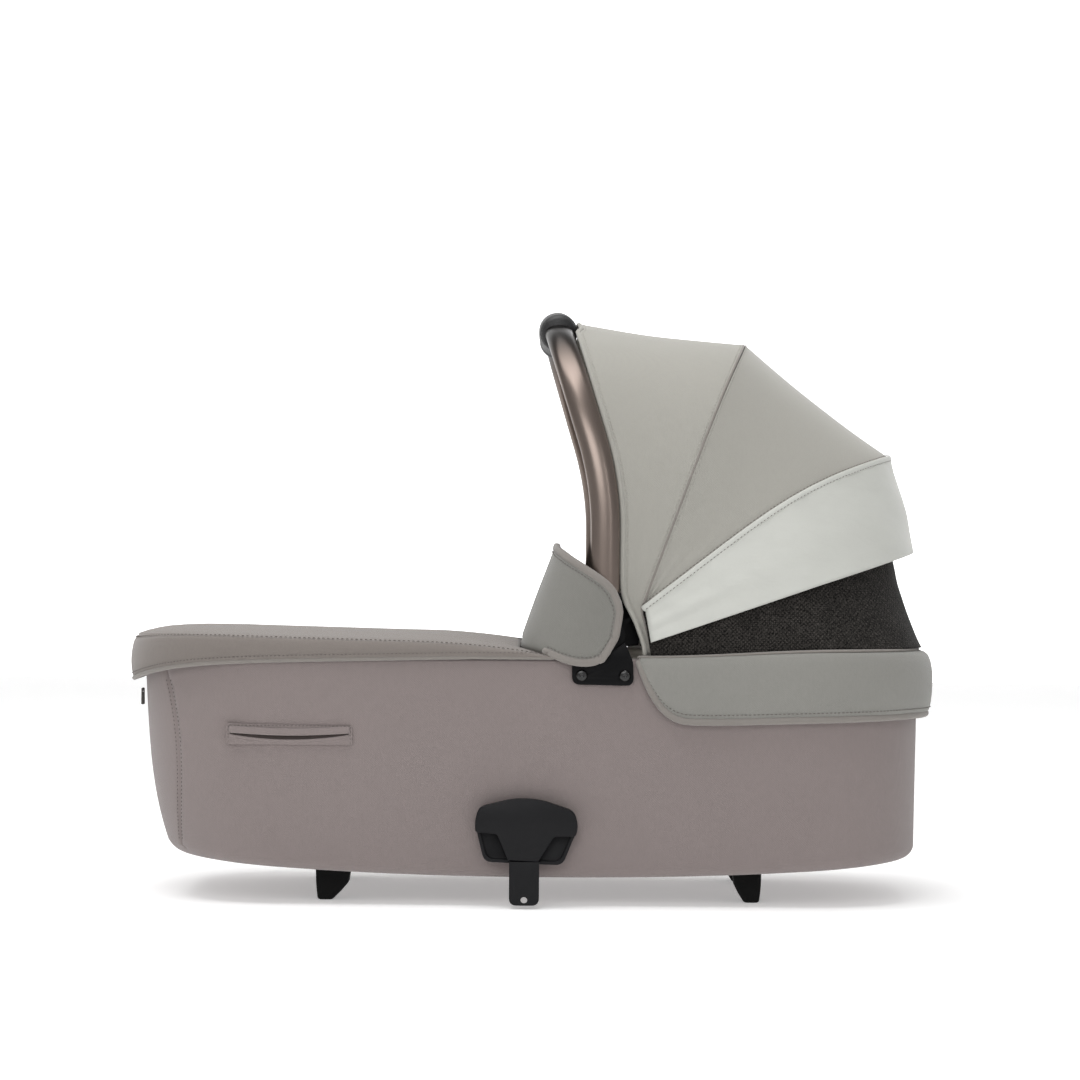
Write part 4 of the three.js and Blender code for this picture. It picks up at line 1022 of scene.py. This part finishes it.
def hem_arch(t):
    """The hem lies along the tube, and stands off a little to pass round the grip."""
    p = hem_base(t).copy()
    p.x += 5.5 * smooth((p.z - 592) / 16) * smooth((112 - abs(p.y)) / 14)
    return p


front_arch = arch(200.5, FRONT_TOP[1], SEAM_FOOT_Z, front_seam_low_x)
front_arch_upper = arch(200.5, FRONT_TOP[1], 325, front_seam_x)
rear_arch = arch(200.5, REAR_TOP[1], 315.5, rear_seam_x)


def skirt_rise(x):
    """The skirt's top edge climbs from the hood's foot towards the head end."""
    return 0.15 + 0.95 * smooth((x - 125) / 205)


def skirt_foot(x, y):
    return Vector((x, y, 264.4 + 10.2 * skirt_rise(x)))


def net_foot_line():
    start_x, head, half_width = 126.0, 424.0, 207.5
    near = [skirt_foot(start_x, -half_width)]
    for s in [6 + k / 60 for k in range(60)] + [7 + k / 30 for k in range(30)] + [8 + k / 12 for k in range(12)]:
        x, y = plan_point(s, FOOT_END, head, half_width, 128.0)
        if x > start_x:
            near.append(skirt_foot(x, y))
    return near + [skirt_foot(head, 0)] + [Vector((p.x, -p.y, p.z)) for p in reversed(near)]


net_foot = by_share(net_foot_line())
HOOD_CENTRE = Vector((150, 0, 300))


def surface_normal(at, u, v):
    e = 0.004
    across = at(min(1, u + e), v) - at(max(0, u - e), v)
    down = at(u, min(1, v + e)) - at(u, max(0, v - e))
    n = across.cross(down).normalized()
    return n if n.dot(at(u, v) - HOOD_CENTRE) > 0 else -n


def between(curve_a, curve_b, share_a=0.0, share_b=0.0):
    return lambda u, v: curve_a(u).lerp(curve_b(u), lerp(share_a, 1 - share_b, v))


def side_share(u):
    """1 at the hood's two feet and 0 over its top."""
    return smooth((abs(u - 0.5) - 0.28) / 0.22)


def hood_lift(sag, pull, seed):
    """Cloth stretched between bows: it dips in the middle, puckers along its seams, and gathers at its feet."""
    def lift(u, v, p):
        middle = math.sin(math.pi * v)
        ease = -sag * middle * (1 - 0.5 * side_share(u))
        pucker = pull * (bell(v, 0.1) + bell(1 - v, 0.1)) * wrinkle((u * 1500, 0, 0), 13, seed)
        gather = 1.7 * side_share(u) * middle * wrinkle((v * 46, abs(u - 0.5) * 60, 0), 9, seed)
        slack = 1.1 * wrinkle(p, 95, seed) * middle
        return ease + pucker + gather + slack
    return lift


def declare_sheet(at):
    """Measures the widths and edge lengths of the ruled strip that a hood panel is cut from, and does nothing with
    them.
    """
    count = 240
    edge_a, edge_b = ([at(k / count, v) for k in range(count + 1)] for v in (0, 1))
    widths = [(b - a).length for a, b in zip(edge_a, edge_b)]
    lengths = [sum((q - p).length for p, q in zip(edge, edge[1:])) for edge in (edge_a, edge_b)]


COLUMNS = steps(150)
ROWS = [0, 0.012, 0.03, 0.06] + [0.06 + 0.88 * k / 22 for k in range(1, 22)] + [0.94, 0.97, 0.988, 1]
front_panel_at = between(hem_arch, front_arch, 0.006, 0.004)
rear_panel_at = between(front_arch_upper, rear_arch, 0.004, 0.004)
net_at = between(rear_arch, net_foot)
hood_path = steps(240)
hem_line, front_line, front_line_upper, rear_line, foot_line = (
    [curve(t) for t in hood_path] for curve in (hem_arch, front_arch, front_arch_upper, rear_arch, net_foot))


def hood_panel(name, node, at, rows, cloth, thickness, lift, bodies, edges):
    piece = cloth_grid(name, at, COLUMNS, rows, cloth, thickness, lift)
    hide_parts(node)
    fan_blend(piece, *bodies, *edges)
    declare_sheet(at)


hood_panel("hood_front_cloth", "canopy_front_panel", front_panel_at, ROWS, HOOD, 1.6,
           hood_lift(2.6, 0.35, 1.3), ("handle", "front_rib"), (hem_line, front_line))
hood_panel("hood_rear_cloth", "canopy_rear_panel", rear_panel_at, ROWS, HOOD, 1.6,
           hood_lift(3.2, 0.35, 4.1), ("front_rib", "rear_rib"), (front_line_upper, rear_line))
net_pull = hood_lift(2.0, 0.2, 6.6)


def net_lift(u, v, p):
    """Slack folds slant down across the net towards the head end."""
    middle = math.sin(math.pi * v)
    slack = 12 * middle ** 0.8 * smooth((p.x - 290) / 110)
    return net_pull(u, v, p) - slack + 1.9 * middle * wrinkle((p.x * 0.6 + p.z, abs(p.y) * 0.5, 0), 24, 5.1)


hood_panel("hood_net", "mesh_window", net_at, ROWS, NET, 0.9, net_lift, ("rear_rib", "tub"),
           (rear_line, foot_line))

VENT_HEM = (118.0, 278.0, 0.3435)


def vent_at(u, v):
    """The vent flap hangs outside the net, down to a hem that climbs towards the head end."""
    t = lerp(0.002, 0.998, u)
    top, bottom = rear_arch(t), net_foot(t)
    low, high = 0.0, 1.0
    for _ in range(24):
        mid = (low + high) / 2
        p = top.lerp(bottom, mid)
        if p.z > VENT_HEM[1] + (p.x - VENT_HEM[0]) * VENT_HEM[2]:
            low = mid
        else:
            high = mid
    start = 1.5 / (top - bottom).length
    p = top.lerp(bottom, lerp(start, max(low, start + 0.2), v))
    out = Vector((max(0, p.x - 300) / 100, p.y / 205, 0.15)).normalized()
    stand_off = 7.5 + 3.5 * smooth((p.x - 330) / 80)
    return p + out * lerp(2.6, stand_off, smooth(v * 1.6))


def vent_lift(u, v, p):
    slant = (p.x * 0.75 + p.z * 0.9, abs(p.y) * 0.3, p.x * 0.15)
    crease = (2.0 + 3.0 * bell(p.x - 150, 80)) * wrinkle(slant, 30, 9.2) * math.sin(math.pi * clamp01(v)) ** 0.7
    tuck = 0.9 * bell(v, 0.12) * wrinkle((u * 1500, 0, 0), 15, 2.8)
    gather = 2.2 * side_share(u) * math.sin(math.pi * v) * wrinkle((v * 60, abs(u - 0.5) * 50, 0), 12, 3.9)
    return crease + tuck + gather


hood_panel("vent_flap_cloth", "vent_flap", vent_at, steps(26), VENT, 1.2, vent_lift, ("rear_rib", "tub"),
           (rear_line, foot_line))


def hood_trim(name, at, v, body, slot, section, material, lift):
    """A binding or cord sewn along one edge of a hood panel, which gives its path and the cloth's normals."""
    normals = [surface_normal(at, lerp(0.002, 0.998, t), v) for t in hood_path]
    path = [at(t, v) + n * lift for t, n in zip(hood_path, normals)]
    cord_piece(name, path, normals, section, material, body, slot)
    return path, normals


hem = hood_trim("hood_hem_binding", front_panel_at, 0.006, "handle", "hood_fabric", oval(2.6, 1.9, 12), HOOD, 0.4)
seam = hood_trim("hood_front_seam", front_panel_at, 0.995, "front_rib", "hood_fabric", oval(1.5, 1.2, 10), BINDING, 0.1)
band = hood_trim("hood_rear_band", net_at, 0.004, "rear_rib", "vent_satin", oval(3.4, 1.8, 16, 2.6), VENT, 2.0)


def shifted(points, normals, distance, lift):
    """A path moved sideways on the cloth it follows."""
    return [p + tangent_at(points, k).cross(n) * distance + n * lift for k, (p, n) in enumerate(zip(points, normals))]


for name, (points, normals), distance, lift, body, slot, thread in (
    ("hem_stitches", hem, 5.0, 0.3, "handle", "hood_fabric", PALE_THREAD),
    ("front_seam_stitches_a", seam, 3.2, 0.7, "front_rib", "hood_fabric", PALE_THREAD),
    ("front_seam_stitches_b", seam, -3.2, 0.7, "front_rib", "hood_fabric", PALE_THREAD),
    ("rear_band_stitches_a", band, 2.1, 1.5, "rear_rib", "vent_satin", THREAD),
    ("rear_band_stitches_b", band, -4.4, 0.6, "rear_rib", "vent_satin", THREAD),
):
    above = [k for k, point in enumerate(points) if point.z > GATHER_Z or body == "handle"]
    kept = slice(above[0], above[-1] + 1)
    path = shifted(points, normals, distance, lift)[kept]
    stitches(name, path, normals[kept], thread, (2.8, 1.7, 0.36, 0.15), body, slot)

# ---- hood skirt


def skirt_low_z(x):
    return 197 + 66 * (1 - clamp01((x - 112) / 64)) ** 3 + 6 * clamp01((x - 200) / 200)


def skirt_line():
    """(x, y, outward normal) round the head end, from the near front corner to the far one."""
    sizes = (FOOT_END, HEAD_END, HALF_WIDTH, CORNER)
    near = [(x, -HALF_WIDTH) for x in (113, 114.5, 116.5, 119, 122, 126, 131, 137, 144, 152, 161, 171, 181)]
    for s in [6 + k / 46 for k in range(46)] + [7 + k / 26 for k in range(26)] + [8 + k / 8 for k in range(8)]:
        x, y = plan_point(s, *sizes)
        if x > 188:
            near.append((x, y))
    line = near + [(HEAD_END, 0)] + [(x, -y) for x, y in reversed(near)]
    result = []
    for k, (x, y) in enumerate(line):
        (x0, y0), (x1, y1) = line[max(0, k - 1)], line[min(len(line) - 1, k + 1)]
        result.append((x, y, Vector((y1 - y0, -(x1 - x0), 0)).normalized()))
    return result


skirt = skirt_line()


def skirt_puff(x):
    """The skirt is fuller round the head end."""
    return 1 + 0.84 * smooth((x - 300) / 118)


def skirt_section(x):
    """The skirt's section as (out from the wall, height) pairs."""
    puff = skirt_puff(x)
    low = skirt_low_z(x)
    middle = lerp(low, 265.5, 0.66)
    rise = skirt_rise(x)
    return [
        (1.2, low + 1.5), (1, lerp(low, 264, 0.5)), (1, 264.3), (-6.3, 264.5), (-6.3, 264.6 + 3.4 * rise),
        (-2, 264.6 + 7 * rise), (3.5, 264.6 + 7.6 * rise), (7.2 * puff, 263.4 + 5.6 * rise),
        (9 * puff, lerp(middle, 262.4 + 5.6 * rise, 0.4)), (9.5 * puff, middle), (9.3 * puff, lerp(low, middle, 0.65)),
        (8.6 * puff, lerp(low, middle, 0.36)), (7.2 * puff, lerp(low, middle, 0.12)), (5.4 * puff, low + 0.3),
        (3, low - 0.2),
    ]


def skirt_ring(x, y, n):
    ring = []
    for o, z in skirt_section(x):
        swell = 1 + 0.06 * wrinkle((x, y, z), 45, 8.3)
        ring.append(Vector((x + n.x * o * swell, y + n.y * o * swell, z)))
    return ring


skirt_pad = loft_rings("hood_skirt_pad", [skirt_ring(*point) for point in skirt], SKIRT_CLOTH)
skirt_pad.modifiers.new("smooth", "SUBSURF").levels = 1
settle(skirt_pad)
place(skirt_pad, "tub", "hood_fabric", ("hood_skirt",))


def skirt_path(out_at, z_at):
    return [Vector((x + n.x * out_at(x), y + n.y * out_at(x), z_at(x))) for x, y, n in skirt]


skirt_normals = [n for _, _, n in skirt]


cord_piece("skirt_piping", skirt_path(lambda x: 5.0 * skirt_puff(x), lambda x: skirt_low_z(x) + 1.6),
           skirt_normals, oval(4.0, 4.0, 14), BINDING, slot="hood_fabric")
stitches("skirt_stitches_low", skirt_path(lambda x: 7.75 * skirt_puff(x) + 0.2, lambda x: skirt_low_z(x) + 8.6),
         skirt_normals, THREAD, (2.8, 1.7, 0.4, 0.35), slot="hood_fabric")
cord_piece("skirt_top_binding", skirt_path(lambda x: -0.5, lambda x: 264.6 + 8.4 * skirt_rise(x)),
           skirt_normals, oval(2.0, 3.0, 12), BINDING, slot="hood_fabric")

# ---- handle

handle_arch = arch(HANDLE_HALF_WIDTH, HANDLE_TOP, 334.0, handle_x)


def square_to_path(points):
    """For each point of a path, the direction square to the path and to the carrycot's length."""
    return [Vector((1, 0, 0)).cross(tangent_at(points, k)).normalized() for k in range(len(points))]


tube_points = [handle_arch(t) for t in steps(170)]
cord_piece("handle_bow", tube_points, square_to_path(tube_points), oval(TUBE_FORE_AFT, TUBE_LATERAL, 36, 2.15), TUBE,
           "handle", "tube_paint", ("handle_tube",))

GRIP_HALF, GRIP_RADIUS = 95.0, 20.0
grip_points = [p for p in map(handle_arch, steps(900)) if abs(p.y) <= GRIP_HALF][::3]


def grip_rings(frames):
    rings = []
    for k, (p, side, up) in enumerate(frames):
        end = min(k, len(frames) - 1 - k)
        collar = 0.6 * bell(end - 2.5, 1.6) - 0.7 * bell(end - 5.5, 0.9)
        radius = GRIP_RADIUS - 3.2 * bell(end, 1.3) + collar
        ring = []
        for i in range(40):
            a = 2 * math.pi * i / 40
            seam = 0.8 * bell(math.remainder(a - math.pi * 1.5, 2 * math.pi), 0.1)
            r = radius - seam + 0.25 * wrinkle((p.y, a * 12, 0), 10, 1.9)
            ring.append(p + side * r * math.cos(a) + up * r * math.sin(a))
        rings.append(ring)
    return rings


grip_frames = path_frames(grip_points, square_to_path(grip_points))
grip = loft_rings("handle_grip_cover", grip_rings(grip_frames), GRIP)
place(grip, "handle", "grip_foam", ("handle_grip",))
for sign in (-1, 1):
    path = [p - up * (GRIP_RADIUS - 0.4) + side * sign * 2.2 for p, side, up in grip_frames[7:-7]]
    normals = [-up for _, _, up in grip_frames[7:-7]]
    label = "a" if sign < 0 else "b"
    stitches(f"grip_stitches_{label}", path, normals, THREAD, (3.0, 1.8, 0.45, 0.2), "handle", "grip_foam")

# ---- hard parts

HARD_PARTS = (  # on both sides: node, material, body, slot and the radius of its edges
    ("adapter_housing_{}", BLACK, "tub", "black_plastic", 1.6),
    ("adapter_tongue_{}", BLACK, "tub", "black_plastic", 0.7),
    ("release_trigger_{}", BLACK, "release_trigger_{}", "black_plastic", 1.2),
    ("hood_bracket_{}", DARK, "tub", "black_plastic", 0.7),
    ("pivot_pin_{}", STEEL, "tub", "steel", 0.3),
    ("pin_cap_{}", DARK, "tub", "black_plastic", 0.7),
    ("hinge_hub_{}", DARK, "handle", "black_plastic", 0.9),
    ("fold_button_{}", DARK, "fold_button_{}", "black_plastic", 0.6),
    ("pocket_welt_{}", COVER, "tub", "cover_fabric", 0.9),
    ("bracket_screw_{}_1", SCREW, "tub", "steel", 0.3),
    ("bracket_screw_{}_2", SCREW, "tub", "steel", 0.3),
    ("rubber_foot_foot_end_{}", RUBBER, "tub", "rubber", 1.2),
    ("rubber_foot_head_end_{}", RUBBER, "tub", "rubber", 1.2),
)
for side in ("near", "far"):
    for node, material, body, slot, bevel in HARD_PARTS:
        refined(node.format(side), material, body.format(side), slot, bevel)
refined("apron_zip_pull", WIRE, "tub", "steel", 0.4)
refined("front_rib", DARK, "front_rib", "black_plastic", 0.6)
refined("rear_rib", DARK, "rear_rib", "black_plastic", 0.6)
repainted = [("tub_shell", SHELL), ("rim_frame", WIRE)]
repainted += [(f"{spring}_spring_{side}", STEEL) for spring in ("trigger", "button") for side in ("near", "far")]
for node, material in repainted:
    slots = frame["nodes"][node].data.materials
    slots.clear()
    slots.append(material)

# ---- pocket details

POCKET_X, POCKET_Z, POCKET_HALF, POCKET_HIGH = -255.5, 181.5, 66.5, 11.5


def on_wall(sign, x, z, out):
    return Vector((x, sign * (wall_y(z) + out), z))


for side, sign in (("near", -1), ("far", 1)):
    normals = [Vector((0, sign, 0))] * 80
    line = [(POCKET_X + lerp(-1, 1, t) * (POCKET_HALF - 4), math.sin(math.pi * t)) for t in steps(40)]
    upper = [on_wall(sign, x, POCKET_Z + 5.6 - 2.6 * sag, 2.6) for x, sag in line]
    lower = [on_wall(sign, x, POCKET_Z - 0.6 - 5.6 * sag ** 0.8, 2.4) for x, sag in line]
    for lip, path, section in (("upper", upper, oval(4.0, 2.4, 14, 2.6)), ("lower", lower, oval(1.6, 1.3, 12))):
        cord_piece(f"pocket_lip_{lip}_{side}", path, normals[:41], section, COVER)
    slit = []
    for x, sag in line:
        top = on_wall(sign, x, POCKET_Z + 2.4 - 2.6 * sag, 2.75)
        low = on_wall(sign, x, POCKET_Z + 0.4 - 5.9 * sag ** 0.8, 2.75)
        slit.append([top, top + normals[0] * 0.4, low + normals[0] * 0.4, low])
    place(loft_rings(f"pocket_slit_{side}", slit, SLIT), "tub", "cover_fabric")
    corners = [(-1, -1), (1, -1), (1, 1), (-1, 1), (-1, -1)]
    path = []
    for (a0, b0), (a1, b1) in zip(corners, corners[1:]):
        for k in range(20):
            a, b = lerp(a0, a1, k / 20), lerp(b0, b1, k / 20)
            z = POCKET_Z + b * (POCKET_HIGH - 1.6) - 0.3
            path.append(on_wall(sign, POCKET_X + a * (POCKET_HALF - 2), z, 2.75))
    stitches(f"pocket_stitches_{side}", path, normals, THREAD, (2.4, 1.6, 0.34, 0.15))

# ---- studio


def stage_material(name, glow):
    n = Nodes(name)
    n.set(Base_Color=(0.86, 0.86, 0.86, 1), Roughness=0.9, Specular_IOR_Level=0.1)
    n.set(Emission_Color=(1, 1, 1, 1), Emission_Strength=glow)
    return n.material


def stage_piece():
    """A white floor that glows a little, and curves up into a lit backdrop far behind."""
    rows = [(-9, 0), (6, 0), (7, 0.15), (7.7, 0.9), (8, 2.2), (8, 9)]
    width = 14
    points = [(x, y, z) for y, z in rows for x in (-width, width)]
    faces = [(2 * k, 2 * k + 1, 2 * k + 3, 2 * k + 2) for k in range(len(rows) - 1)]
    mesh = bpy.data.meshes.new("studio")
    mesh.from_pydata(points, [], faces)
    mesh.materials.append(stage_material("studio_floor", 0.3))
    mesh.materials.append(stage_material("studio_backdrop", 1.0))
    for face in mesh.polygons:
        face.material_index = 0 if face.index == 0 else 1
        face.use_smooth = True
    return add_object("studio", mesh)


stage_piece()


def area_light(name, location, aim, size, power):
    light = bpy.data.lights.new(name, "AREA")
    light.shape = "RECTANGLE"
    light.size, light.size_y = size
    light.energy = power
    lamp = add_object(name, light)
    lamp.location = location
    lamp.rotation_euler = (Vector(aim) - Vector(location)).to_track_quat("-Z", "Y").to_euler()


area_light("top_softbox", (-0.4, -0.4, 3.0), (0, 0, 0.2), (2.6, 2.6), 80)
area_light("front_softbox", (-0.5, -3.7, 1.9), (0, 0, 0.3), (1.8, 1.5), 33)
area_light("side_strip", (1.5, -3.2, 1.3), (0.1, 0, 0.45), (0.22, 1.5), 5)
area_light("back_softbox", (0, 3.6, 2.6), (0, 0, 0.3), (3.0, 1.6), 12)

world = bpy.data.worlds.new("studio_world")
world.use_nodes = True
world.node_tree.nodes["Background"].inputs["Color"].default_value = (1, 1, 1, 1)
world.node_tree.nodes["Background"].inputs["Strength"].default_value = 0.34
bpy.context.scene.world = world
bpy.context.scene.view_settings.view_transform = "Standard"
bpy.context.scene.view_settings.look = "None"

bpy.context.view_layer.update()
